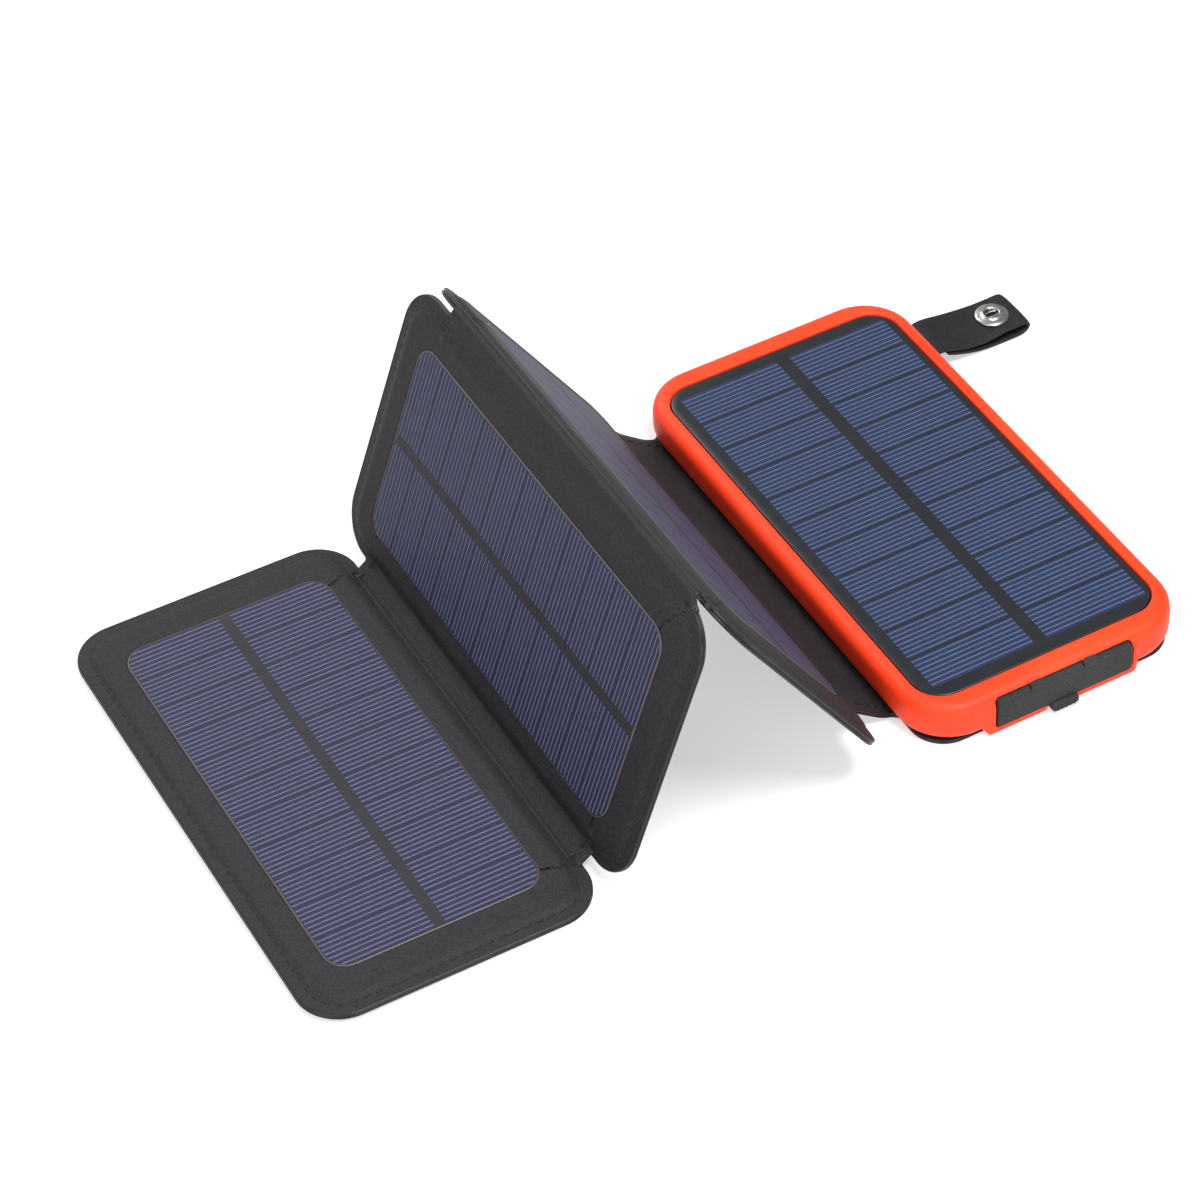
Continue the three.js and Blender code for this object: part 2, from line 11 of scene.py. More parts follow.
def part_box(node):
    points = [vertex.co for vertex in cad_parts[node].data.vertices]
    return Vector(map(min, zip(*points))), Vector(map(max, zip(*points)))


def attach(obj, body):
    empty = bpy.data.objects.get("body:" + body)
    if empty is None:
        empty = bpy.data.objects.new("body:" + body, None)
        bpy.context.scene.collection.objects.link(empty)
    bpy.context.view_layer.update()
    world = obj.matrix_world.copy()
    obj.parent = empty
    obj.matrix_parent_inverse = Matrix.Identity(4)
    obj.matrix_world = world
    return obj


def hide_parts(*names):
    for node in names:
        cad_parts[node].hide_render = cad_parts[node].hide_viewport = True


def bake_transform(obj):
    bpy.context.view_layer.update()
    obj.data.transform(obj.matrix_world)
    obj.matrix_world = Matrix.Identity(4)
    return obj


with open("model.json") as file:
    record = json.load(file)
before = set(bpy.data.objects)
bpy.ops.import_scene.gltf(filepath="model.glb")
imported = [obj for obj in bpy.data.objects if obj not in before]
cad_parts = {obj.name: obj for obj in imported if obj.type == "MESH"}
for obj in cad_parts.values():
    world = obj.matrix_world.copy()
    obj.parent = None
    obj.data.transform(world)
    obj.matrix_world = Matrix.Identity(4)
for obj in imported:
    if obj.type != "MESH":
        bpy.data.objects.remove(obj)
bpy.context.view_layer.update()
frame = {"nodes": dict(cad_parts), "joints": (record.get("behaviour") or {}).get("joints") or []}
MM = 0.001
JOINTS = {j["name"]: j for j in frame["joints"]}


def box_mm(node):
    low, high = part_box(node)
    return np.array(low) / MM, np.array(high) / MM


# ------------------------------------------------------------------ materials
class Nodes:
    """Short way to build a node tree on one material."""

    def __init__(self, name):
        self.material = bpy.data.materials.new(name)
        self.material.use_nodes = True
        self.tree = self.material.node_tree
        self.shader = self.tree.nodes["Principled BSDF"]

    def set(self, **values):
        for key, value in values.items():
            self.shader.inputs[key.replace("_", " ")].default_value = value

    def node(self, kind, inputs=None, **settings):
        made = self.tree.nodes.new(kind)
        for key, value in settings.items():
            setattr(made, key, value)
        for key, value in (inputs or {}).items():
            if isinstance(value, bpy.types.NodeSocket):
                self.tree.links.new(value, made.inputs[key])
            else:
                made.inputs[key].default_value = value
        return made

    def math(self, operation, a, b=0.0, clamp=False):
        return self.node("ShaderNodeMath", {0: a, 1: b}, operation=operation, use_clamp=clamp).outputs[0]

    def ramp(self, value, low, high, out_low=0.0, out_high=1.0):
        inputs = {"Value": value, "From Min": low, "From Max": high, "To Min": out_low, "To Max": out_high}
        return self.node("ShaderNodeMapRange", inputs).outputs[0]

    def mix(self, factor, a, b):
        mixer = self.node("ShaderNodeMix", {0: factor}, data_type="RGBA")
        for socket, value in ((mixer.inputs[6], a), (mixer.inputs[7], b)):
            if isinstance(value, bpy.types.NodeSocket):
                self.tree.links.new(value, socket)
            else:
                socket.default_value = (*value, 1.0)
        return mixer.outputs[2]

    def noise(self, vector, scale, detail=3.0, roughness=0.5):
        inputs = {"Vector": vector, "Scale": scale, "Detail": detail, "Roughness": roughness}
        return self.node("ShaderNodeTexNoise", inputs).outputs["Fac"]

    def cells(self, vector, scale, feature="F1"):
        inputs = {"Vector": vector, "Scale": scale}
        return self.node("ShaderNodeTexVoronoi", inputs, feature=feature).outputs["Distance"]

    def bump(self, height, strength, distance, normal=None):
        inputs = {"Height": height, "Strength": strength, "Distance": distance}
        if normal is not None:
            inputs["Normal"] = normal
        return self.node("ShaderNodeBump", inputs).outputs["Normal"]

    def link(self, value, socket):
        self.tree.links.new(value, self.shader.inputs[socket])

    def place(self, attribute=None):
        if attribute:
            return self.node("ShaderNodeAttribute", attribute_name=attribute).outputs["Vector"]
        return self.node("ShaderNodeTexCoord").outputs["Object"]


def leather_material(name, tint=1.0, attribute="flat"):
    """Fine pebbled black synthetic leather, with slow shade changes and rubbed spots."""
    n = Nodes(name)
    place = n.place(attribute)
    pebbles = n.cells(place, 1500)
    creases = n.cells(place, 620, "DISTANCE_TO_EDGE")
    cloud = n.noise(place, 38, 4)
    fine = n.noise(place, 2600, 2)
    dark = tuple(c * tint for c in (0.0105, 0.0102, 0.0115))
    light = tuple(c * tint for c in (0.017, 0.0165, 0.0182))
    shade = n.mix(n.ramp(cloud, 0.3, 0.7), dark, light)
    worn = n.mix(n.ramp(pebbles, 0.15, 0.75), tuple(c * tint for c in (0.03, 0.0285, 0.03)), dark)
    n.link(n.mix(n.math("ADD", 0.35, n.math("MULTIPLY", fine, 0.2)), shade, worn), "Base Color")
    n.link(n.ramp(n.math("ADD", cloud, n.math("MULTIPLY", fine, 0.4)), 0.4, 1.0, 0.56, 0.72), "Roughness")
    grain = n.math("SUBTRACT", n.math("MULTIPLY", creases, 1.4, True), n.math("MULTIPLY", pebbles, 0.5))
    bumped = n.bump(grain, 0.35, 0.00012)
    n.link(n.bump(fine, 0.15, 0.00005, bumped), "Normal")
    n.set(Specular_IOR_Level=0.19)
    return n.material


def edge_paint_material():
    """Glossy sealed cut edge of the leather."""
    n = Nodes("leather_edge")
    place = n.place("flat")
    fleck = n.noise(place, 900, 3)
    n.link(n.mix(fleck, (0.005, 0.005, 0.0053), (0.014, 0.0135, 0.014)), "Base Color")
    n.link(n.ramp(fleck, 0.3, 0.8, 0.34, 0.5), "Roughness")
    n.link(n.bump(fleck, 0.2, 0.0001), "Normal")
    n.set(Coat_Weight=0.1, Coat_Roughness=0.2, Specular_IOR_Level=0.22)
    return n.material


def thread_material():
    """Twisted waxed thread."""
    n = Nodes("thread")
    place = n.place()
    twist = n.noise(place, 3500, 2)
    n.link(n.mix(twist, (0.006, 0.006, 0.0065), (0.015, 0.0148, 0.016)), "Base Color")
    n.link(n.ramp(twist, 0.2, 0.8, 0.5, 0.7), "Roughness")
    n.link(n.bump(twist, 0.4, 0.0001), "Normal")
    n.set(Specular_IOR_Level=0.3)
    return n.material


def rubber_material(name, low, high, roughness, speckle=0.0, grain=900, coat=0.0):
    """Moulded elastomer with a slow mottle, a fine skin grain and optional pale specks."""
    n = Nodes(name)
    place = n.place()
    mottle = n.noise(place, 45, 3)
    skin = n.noise(place, grain, 3)
    colour = n.mix(n.ramp(mottle, 0.3, 0.7), low, high)
    if speckle:
        spots = n.ramp(n.cells(place, 1300), 0.16, 0.3, speckle, 0.0)
        colour = n.mix(spots, colour, (0.06, 0.06, 0.063))
    n.link(colour, "Base Color")
    n.link(n.ramp(n.math("ADD", mottle, skin), 0.7, 1.3, roughness - 0.05, roughness + 0.07), "Roughness")
    n.link(n.bump(skin, 0.12 if not speckle else 0.5, 0.00006), "Normal")
    n.set(Coat_Weight=coat, Coat_Roughness=0.3, Specular_IOR_Level=0.22)
    return n.material


def plastic_material(name, low, high, roughness):
    """Spark-eroded moulded plastic."""
    n = Nodes(name)
    place = n.place()
    texture = n.noise(place, 1800, 3)
    tone = n.noise(place, 60, 2)
    n.link(n.mix(tone, low, high), "Base Color")
    n.link(n.ramp(texture, 0.3, 0.7, roughness - 0.08, roughness + 0.08), "Roughness")
    n.link(n.bump(texture, 0.25, 0.00005), "Normal")
    return n.material


def metal_material(name, low, high, roughness):
    """Plated metal with brushed streaks and tarnish."""
    n = Nodes(name)
    place = n.place()
    stretched = n.node("ShaderNodeMapping", {"Vector": place, "Scale": (1.0, 6.0, 1.0)}).outputs[0]
    streak = n.noise(stretched, 700, 3)
    tarnish = n.noise(place, 420, 4, 0.65)
    n.link(n.mix(n.ramp(tarnish, 0.42, 0.68), high, low), "Base Color")
    n.link(n.ramp(n.math("ADD", streak, tarnish), 0.7, 1.3, roughness, roughness + 0.2), "Roughness")
    n.link(n.bump(tarnish, 0.25, 0.00008), "Normal")
    n.set(Metallic=1.0)
    return n.material


def resin_material(name, low, high, roughness, coat):
    """Dark backing seen through clear cast resin, with faint wiping marks."""
    n = Nodes(name)
    place = n.place()
    cloud = n.noise(place, 30, 3)
    smear = n.node("ShaderNodeMapping", {"Vector": place, "Scale": (1.0, 8.0, 1.0), "Rotation": (0, 0, 0.6)})
    wipe = n.noise(smear.outputs[0], 60, 4)
    n.link(n.mix(cloud, low, high), "Base Color")
    n.link(n.ramp(wipe, 0.3, 0.7, roughness - 0.05, roughness + 0.05), "Roughness")
    n.link(n.bump(wipe, 0.04, 0.0001), "Normal")
    n.set(Coat_Weight=coat, Coat_Roughness=0.2, Specular_IOR_Level=0.25)
    return n.material


ROW_LINES = 7                # silver lines across one cell
LINE_PITCH = 1.57


def cell_material(name, body_low, body_high, line, pitch, line_width, roughness, coat):
    """Silicon with silver contact lines across it; the cell map's V runs along the rows in 100 mm units."""
    n = Nodes(name)
    uv = n.node("ShaderNodeUVMap", uv_map="cell").outputs[0]
    parts = n.node("ShaderNodeSeparateXYZ", {0: uv})
    along = n.math("MULTIPLY", parts.outputs[1], 100.0)
    in_row = n.math("MODULO", n.math("ADD", along, 100 * pitch), pitch)
    first = (pitch - (ROW_LINES - 1) * LINE_PITCH) / 2
    step = n.math("DIVIDE", n.math("SUBTRACT", in_row, first), LINE_PITCH)
    from_line = n.math("PINGPONG", step, 0.5)
    past_first = n.math("GREATER_THAN", step, -0.45)
    before_last = n.math("LESS_THAN", step, ROW_LINES - 0.55)
    inside = n.math("MULTIPLY", past_first, before_last)
    half = line_width / 2 / LINE_PITCH
    line_mask = n.math("MULTIPLY", n.ramp(from_line, half * 0.55, half * 1.5, 1.0, 0.0), inside)
    place = n.place()
    grains = n.cells(place, 90)
    tone = n.noise(place, 25, 3)
    mottle = n.noise(place, 900, 2)
    shade = n.math("ADD", n.math("MULTIPLY", grains, 0.35), n.math("MULTIPLY", tone, 0.6))
    body = n.mix(shade, body_low, body_high)
    body = n.mix(n.math("MULTIPLY", mottle, 0.25), body, body_low)
    patchy = n.math("MULTIPLY", line_mask, n.ramp(n.noise(place, 500, 2), 0.2, 0.6, 0.7, 1.0))
    n.link(n.mix(patchy, body, line), "Base Color")
    n.link(n.ramp(line_mask, 0.0, 1.0, roughness, roughness + 0.12), "Roughness")
    n.link(n.bump(line_mask, 0.3, 0.00004), "Normal")
    n.set(Coat_Weight=coat, Coat_Roughness=0.2, Specular_IOR_Level=0.25)
    return n.material


LEATHER = leather_material("leather")
STRAP_LEATHER = leather_material("strap_leather", 0.75)
LEATHER_EDGE = edge_paint_material()
THREAD = thread_material()
ORANGE = rubber_material("orange_silicone", (0.8, 0.034, 0.006), (0.88, 0.048, 0.009), 0.5)
BLACK_RUBBER = rubber_material("black_rubber", (0.012, 0.012, 0.013), (0.022, 0.022, 0.023), 0.62, 0.55)
BUTTON_RUBBER = rubber_material("button_rubber", (0.013, 0.013, 0.014), (0.02, 0.02, 0.021), 0.5)
BLACK_PLASTIC = plastic_material("black_plastic", (0.011, 0.011, 0.012), (0.02, 0.02, 0.021), 0.5)
STEEL = metal_material("snap_steel", (0.16, 0.145, 0.135), (0.46, 0.45, 0.44), 0.24)
SOCKET_STEEL = metal_material("socket_steel", (0.42, 0.42, 0.42), (0.62, 0.62, 0.61), 0.22)
COPPER = metal_material("copper_lead", (0.5, 0.22, 0.1), (0.75, 0.38, 0.2), 0.3)
POUCH = metal_material("battery_pouch", (0.5, 0.5, 0.52), (0.7, 0.7, 0.72), 0.35)
BOARD = plastic_material("stiff_board", (0.2, 0.17, 0.12), (0.3, 0.26, 0.19), 0.75)
CIRCUIT = plastic_material("circuit_green", (0.01, 0.09, 0.035), (0.02, 0.14, 0.05), 0.4)
LENS = plastic_material("clear_lens", (0.55, 0.62, 0.7), (0.75, 0.8, 0.86), 0.2)
BANK_RESIN = resin_material("bank_resin", (0.009, 0.01, 0.012), (0.013, 0.015, 0.018), 0.32, 0.12)
PANEL_RESIN = resin_material("panel_resin", (0.012, 0.0118, 0.014), (0.018, 0.0175, 0.02), 0.6, 0.0)
# Lighter resin for the windows' bevelled edge: a painted highlight line that stands in for the glint along
# the window edges.
RESIN_EDGE_PAINTED_HIGHLIGHT = resin_material("resin_edge_painted_highlight", (0.045, 0.043, 0.046), (0.085, 0.08, 0.085), 0.4, 0.1)


# --------------------------------------------------------------- mesh helpers
class Mesh:
    """Vertices in millimetres, faces with a material number, and a flat place for the grain."""

    def __init__(self):
        self.points = []
        self.flat = []
        self.faces = []
        self.kinds = []

    def add(self, points, flat=None):
        first = len(self.points)
        self.points.extend(points)
        self.flat.extend(points if flat is None else flat)
        return first

    def face(self, corners, kind=0):
        self.faces.append(corners)
        self.kinds.append(kind)

    def loft(self, loops, flats=None, kinds=None, closed=True, ring=False, caps=(False, False), skip=None):
        """Skins equal-count loops in turn; kinds gives one material number to each band."""
        count = len(loops[0])
        starts = [self.add(loop, None if flats is None else flats[i]) for i, loop in enumerate(loops)]
        bands = len(loops) if ring else len(loops) - 1
        for b in range(bands):
            a, c = starts[b], starts[(b + 1) % len(loops)]
            for i in range(count if closed else count - 1):
                if skip and skip(b, i):
                    continue
                j = (i + 1) % count
                self.face((a + i, a + j, c + j, c + i), kinds[b] if kinds else 0)
        if caps[0]:
            self.face(tuple(starts[0] + i for i in reversed(range(count))), kinds[0] if kinds else 0)
        if caps[1]:
            self.face(tuple(starts[-1] + i for i in range(count)), kinds[-1] if kinds else 0)
        return starts

    def build(self, name, materials, weld=True):
        data = bpy.data.meshes.new(name)
        data.from_pydata((np.array(self.points, float) * MM).tolist(), [], self.faces)
        for material in materials:
            data.materials.append(material)
        data.polygons.foreach_set("material_index", self.kinds)
        flat = data.attributes.new("flat", "FLOAT_VECTOR", "POINT")
        flat.data.foreach_set("vector", (np.array(self.flat, np.float32) * MM).ravel())
        if weld:
            weld_mesh(data)
        data.polygons.foreach_set("use_smooth", [True] * len(data.polygons))
        data.update()
        made = bpy.data.objects.new(name, data)
        bpy.context.scene.collection.objects.link(made)
        return made


def weld_mesh(data):
    """Joins points that fall together and drops faces without area."""
    bm = bmesh.new()
    bm.from_mesh(data)
    bmesh.ops.remove_doubles(bm, verts=bm.verts, dist=2e-6)
    bmesh.ops.dissolve_degenerate(bm, dist=1e-6, edges=bm.edges)
    bm.to_mesh(data)
    bm.free()


def outward_faces(piece):
    """Turns every face of a closed piece to look outwards."""
    bm = bmesh.new()
    bm.from_mesh(piece.data)
    bmesh.ops.recalc_face_normals(bm, faces=bm.faces)
    bm.to_mesh(piece.data)
    bm.free()


def sharpen(piece, degrees):
    """Keeps edges sharper than the angle crisp."""
    piece.data.set_sharp_from_angle(angle=math.radians(degrees))


def smoothstep(x, low, high):
    t = np.clip((np.asarray(x, float) - low) / (high - low), 0.0, 1.0)
    return t * t * (3 - 2 * t)


def wobble(x, y, size, seed=0.0):
    """Gentle repeatable unevenness of about -1 to 1, with lumps of the given size."""
    return noise.noise(Vector((x / size + seed, y / size - seed, seed * 1.7)))


def rounded_loop(half_x, half_y, radius, steps, spacing=None, centre=(0.0, 0.0)):
    """Counter-clockwise rounded rectangle as (x, y), from the middle of the +X side."""
    points = []
    for quarter, (sx, sy) in enumerate(((1, 1), (-1, 1), (-1, -1), (1, -1))):
        cx, cy = sx * (half_x - radius), sy * (half_y - radius)
        for s in range(steps + 1):
            a = (quarter + s / steps) * math.pi / 2
            points.append((centre[0] + cx + radius * math.cos(a), centre[1] + cy + radius * math.sin(a)))
    if spacing:
        points = spread(points, spacing)
    return np.array(points)


def spread(points, spacing):
    """Adds points along the straight stretches of a closed line."""
    filled = []
    for a, b in zip(points, points[1:] + points[:1]):
        n = max(1, round(math.dist(a, b) / spacing))
        filled += [(a[0] + (b[0] - a[0]) * i / n, a[1] + (b[1] - a[1]) * i / n) for i in range(n)]
    return filled


def lathe(mesh, profile, centre, axis_up=(0, 0, 1), sides=48, kind=0):
    """Turns (radius, height) pairs about an axis through the centre."""
    up = Vector(axis_up).normalized()
    turn = up.to_track_quat("Z", "Y").to_matrix()
    loops = []
    for r, h in profile:
        ring = []
        for i in range(sides):
            a = 2 * math.pi * i / sides
            ring.append(Vector(centre) + turn @ Vector((r * math.cos(a), r * math.sin(a), h)))
        loops.append([tuple(p) for p in ring])
    mesh.loft(loops, kinds=[kind] * len(loops))


def mount(piece, body, slot, *nodes):
    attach(piece, body)
    if nodes:
        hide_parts(*nodes)
    return piece


# ------------------------------------------------------------- the fold chain
class Link:
    """One straight link of the cover: hinge, slope above the table, length, in millimetres and radians."""

    def __init__(self, name, start, end=None, slope=None, length=None, panel=False):
        self.name = name
        self.x, self.z = start
        if end is not None:
            slope = math.atan2(end[1] - start[1], start[0] - end[0])
            length = math.dist(start, end)
        self.slope = slope
        self.length = length
        self.panel = panel

    def world(self, u, y, w):
        """Place of a point u along the link, w off its fold plane on the solar side."""
        c, s = math.cos(self.slope), math.sin(self.slope)
        return (self.x - u * c + w * s, y, self.z + u * s + w * c)


def hinge_point(joint):
    p = JOINTS[joint]["pos_m"]
    return p[0] / MM, p[2] / MM


HINGES = [hinge_point(j) for j in (
    "tongue_fold", "panel_1_fold", "ridge_fold", "panel_2_fold", "valley_fold", "panel_3_fold")]
free_edge = box_mm("panel_3_front_skin")[0][0]
LAST_SLOPE = math.radians(0.75)
TONGUE_LENGTH = 6.0
TONGUE = Link("bank", (HINGES[0][0] + TONGUE_LENGTH, HINGES[0][1]), HINGES[0])
RISER = Link("riser", HINGES[0], HINGES[1])
PANEL_1 = Link("panel_1", HINGES[1], HINGES[2], panel=True)
RIDGE = Link("ridge", HINGES[2], HINGES[3])
PANEL_2 = Link("panel_2", HINGES[3], HINGES[4], panel=True)
VALLEY = Link("valley", HINGES[4], HINGES[5])
PANEL_3 = Link("panel_3", HINGES[5], slope=LAST_SLOPE, length=(HINGES[5][0] - free_edge), panel=True)

PANEL_HALF = box_mm("panel_3_front_skin")[1][1]
STRIP_HALF = box_mm("valley_front_skin")[1][1]
STRIP_SHIFT = {
    name: box_mm(f"{name}_front_skin")[1][1] - STRIP_HALF for name in ("riser", "ridge", "valley")}
STRIP_SHIFT["bank"] = STRIP_SHIFT["riser"]
CORNER = 12.0
WINDOW_WIDTH = 59.3
WINDOW_HALF = box_mm("panel_3_laminate")[1][1] + 0.3
WINDOW_CORNER = 6.5
WINDOW_AT = {"panel_1": 11.0, "panel_2": 15.2, "panel_3": 8.5}
GLASS_TOP = 2.3

# Height of the leather's two faces over the fold plane: at its edges, and the back's fullness.
EDGE_TOP = {
    "bank": 0.5, "riser": 0.6, "panel_1": 0.9, "ridge": 0.85, "panel_2": 0.9, "valley": 0.75, "panel_3": 0.9}
EDGE_BACK = {
    "bank": -0.95, "riser": -0.7, "panel_1": -0.75, "ridge": -0.6, "panel_2": -0.75, "valley": -0.8,
    "panel_3": -0.95}
BACK_FULL = {"panel_1": -1.45, "panel_2": -1.4, "panel_3": -1.0}
LIP_TOP = 2.08               # leather around the window
# How far each panel's outline runs past its near and far hinge, negative inside them.
OVERHANG = {"panel_1": (0.6, 0.4), "panel_2": (-4.0, 1.5), "panel_3": (1.5, 0.0)}
# Strip on the near and far side of each panel.
BESIDE = {"panel_1": ("riser", "ridge"), "panel_2": ("ridge", "valley"), "panel_3": ("valley", None)}
# How far the crease pieces reach into each panel, on its near and far side.
CUT_IN = {"panel_1": (3.6, 3.6), "panel_2": (5.4, 3.6), "panel_3": (3.6, 0.0)}
STITCH_IN = 3.0


def strip_range(name):
    """Near and far end of a strip along Y."""
    return STRIP_SHIFT[name] - STRIP_HALF, STRIP_SHIFT[name] + STRIP_HALF


def outline_distance(link, u, y):
    """Distance in from a panel's rounded outline, negative outside."""
    near, far = OVERHANG[link.name]
    half = (link.length + near + far) / 2
    du = abs(u - (link.length + far - near) / 2) - (half - CORNER)
    dy = abs(y) - (PANEL_HALF - CORNER)
    outside = math.hypot(max(du, 0.0), max(dy, 0.0))
    return CORNER - outside - min(max(du, dy), 0.0)


def beside_strip(link, u, y):
    """1 next to a strip's crease, 0 along the panel's free edges."""
    strip = BESIDE[link.name][0 if u < link.length / 2 else 1]
    if strip is None:
        return 0.0
    low, high = strip_range(strip)
    return float(smoothstep(y, low + 1.0, low + 3.5) * (1 - smoothstep(y, high - 3.5, high - 1.0)))


def front_height(link, u, y):
    low = EDGE_TOP[link.name]
    uneven = 0.05 * wobble(u + link.x, y, 16, 3.1) + 0.025 * wobble(u + link.x, y, 5, 7.7)
    if not link.panel:
        return low + uneven
    d = outline_distance(link, u, y)
    board = smoothstep(d, 0.8, 6.0)
    free = 1 - beside_strip(link, u, y)
    seam = 0.22 * math.exp(-((d - STITCH_IN) / 0.55) ** 2) * free
    return float(low + (LIP_TOP - low) * board - seam + uneven * smoothstep(d, 0.5, 3.0) * (1.3 - board))


def back_height(link, u, y):
    low = EDGE_BACK[link.name]
    uneven = 0.06 * wobble(u + link.x, y, 18, 11.3)
    if not link.panel:
        return low + uneven * 0.5
    d = outline_distance(link, u, y)
    full = smoothstep(d, 1.2, 9.0) ** 0.6
    swell = (BACK_FULL[link.name] - low) * full
    if link.name == "panel_3":          # it lies flat on the table
        return float(low + swell)
    seam = 0.3 * math.exp(-((d - STITCH_IN) / 0.6) ** 2) * (1 - beside_strip(link, u, y))
    return float(low + swell + seam + uneven * smoothstep(d, 0.5, 3.0))


# Outward swell and share of the height: two leather edges with a groove between.
RIM = ((0.0, 1.0), (0.24, 0.86), (0.30, 0.70), (0.12, 0.56), (-0.16, 0.5),
       (0.12, 0.44), (0.30, 0.30), (0.24, 0.14), (0.0, 0.0))
# Shares of the way from window to outline where the cover has a ring, closest at the sewn edge.
COVER_STEPS = (0.0, 0.06, 0.14, 0.24, 0.34, 0.44, 0.52, 0.6, 0.66, 0.71,
               0.755, 0.79, 0.825, 0.86, 0.895, 0.93, 0.96, 0.985)


def panel_boundary(link):
    """Outer line of a panel's cover as (u, y, is_cut): cut stretches join the crease pieces."""
    near, far = OVERHANG[link.name]
    u0, u1 = -near, link.length + far
    near_strip, far_strip = BESIDE[link.name]
    low, high = strip_range(near_strip)
    near_cut, far_cut = CUT_IN[link.name]
    line = [(near_cut, low, True), (u0, low, True)]
    corners = [(u0 + CORNER, -PANEL_HALF + CORNER, 180), (u1 - CORNER, -PANEL_HALF + CORNER, 270),
               (u1 - CORNER, PANEL_HALF - CORNER, 0), (u0 + CORNER, PANEL_HALF - CORNER, 90)]
    for number, (cu, cy, first) in enumerate(corners):
        if number == 2 and far_strip:
            far_low, far_high = strip_range(far_strip)
            line += [(u1, far_low, False), (link.length - far_cut, far_low, True),
                     (link.length - far_cut, far_high, True), (u1, far_high, True)]
        for s in range(17):
            a = math.radians(first + 90 * s / 16)
            line.append((cu + CORNER * math.cos(a), cy + CORNER * math.sin(a), False))
    line += [(u0, high, False), (near_cut, high, True)]
    filled = []
    for a, b in zip(line, line[1:] + line[:1]):
        if math.dist(a[:2], b[:2]) < 0.05:
            continue
        n = max(1, round(math.dist(a[:2], b[:2]) / 1.6))
        for i in range(n):
            t = i / n
            filled.append((a[0] + (b[0] - a[0]) * t, a[1] + (b[1] - a[1]) * t, b[2]))
    return filled


def outward(link, u, y):
    """Unit direction out of the panel's outline."""
    e = 0.05
    gu = outline_distance(link, u + e, y) - outline_distance(link, u - e, y)
    gy = outline_distance(link, u, y + e) - outline_distance(link, u, y - e)
    size = math.hypot(gu, gy) or 1.0
    return -gu / size, -gy / size


def window_point(link, u, y):
    """Nearest point of the window's outline."""
    mid = WINDOW_AT[link.name] + WINDOW_WIDTH / 2
    half_u, half_y = WINDOW_WIDTH / 2 - WINDOW_CORNER, WINDOW_HALF - WINDOW_CORNER
    cu = min(max(u - mid, -half_u), half_u)
    cy = min(max(y, -half_y), half_y)
    du, dy = (u - mid) - cu, y - cy
    size = math.hypot(du, dy) or 1.0
    return mid + cu + WINDOW_CORNER * du / size, cy + WINDOW_CORNER * dy / size


def panel_cover(link):
    """Front leather with its window, sealed rim and back leather of one panel."""
    boundary = panel_boundary(link)
    inner = [window_point(link, u, y) for u, y, _ in boundary]
    rings, kinds = [], []

    def ring(fn, kind):
        rings.append([fn(i) for i in range(len(boundary))])
        kinds.append(kind)

    def between(i, t):
        (u, y, _), (wu, wy) = boundary[i], inner[i]
        return wu + (u - wu) * t, wy + (y - wy) * t

    def edge_in(i, amount):
        (u, y, _), (wu, wy) = boundary[i], inner[i]
        size = math.hypot(u - wu, y - wy) or 1.0
        return wu + (u - wu) * (-amount / size), wy + (y - wy) * (-amount / size)

    ring(lambda i: (*edge_in(i, 0.25), 1.1), 0)
    ring(lambda i: (*edge_in(i, 0.22), LIP_TOP - 0.35), 0)
    ring(lambda i: (*edge_in(i, 0.10), LIP_TOP - 0.09), 0)
    for t in COVER_STEPS:
        def front(i, t=t):
            u, y = between(i, t)
            return (u, y, front_height(link, u, y))
        ring(front, 0)

    def rim(i, swell, share):
        u, y, cut = boundary[i]
        top, back = front_height(link, u, y), back_height(link, u, y)
        if cut:
            return (u, y, back + (top - back) * share)
        ou, oy = outward(link, u, y)
        return (u + ou * swell, y + oy * swell, back + (top - back) * share)

    first_rim = len(rings) - 1
    for swell, share in RIM:
        ring(lambda i, a=swell, b=share: rim(i, a, b), 1)
    kinds[-1] = 0
    last_rim = len(rings)
    for t in reversed(COVER_STEPS[4:]):
        def back(i, t=t):
            u, y = between(i, t)
            return (u, y, back_height(link, u, y))
        ring(back, 0)
    middle = WINDOW_AT[link.name] + WINDOW_WIDTH / 2
    for t in (0.6, 0.25, 0.02):
        def inside(i, t=t):
            wu, wy = inner[i]
            cy = min(max(wy, -WINDOW_HALF + 28), WINDOW_HALF - 28)
            u, y = middle + (wu - middle) * t, cy + (wy - cy) * t
            return (u, y, back_height(link, u, y))
        ring(inside, 0)
    placed = [[link.world(*p) for p in loop] for loop in rings]
    flats = [[(u + link.x, y, w) for u, y, w in loop] for loop in rings]
    mesh = Mesh()
    mesh.loft(placed, flats, kinds, skip=lambda band, i: boundary[i][2] and first_rim <= band < last_rim)
    cover = mesh.build(f"{link.name}_cover", [LEATHER, LEATHER_EDGE])
    return mount(cover, link.name, "leather", f"{link.name}_front_skin", f"{link.name}_back_skin")


# ---------------------------------------------------------------------- seams
THREAD_RADIUS = 0.27
STITCH_LENGTH = 2.5
STITCH_GAP = 0.8
# Share of the stitch's length, height over the leather and share of the thread's radius.
STITCH_SHAPE = ((0.0, -0.26, 0.55), (0.14, -0.02, 0.92), (0.38, 0.09, 1.0),
                (0.62, 0.09, 1.0), (0.86, -0.02, 0.92), (1.0, -0.26, 0.55))


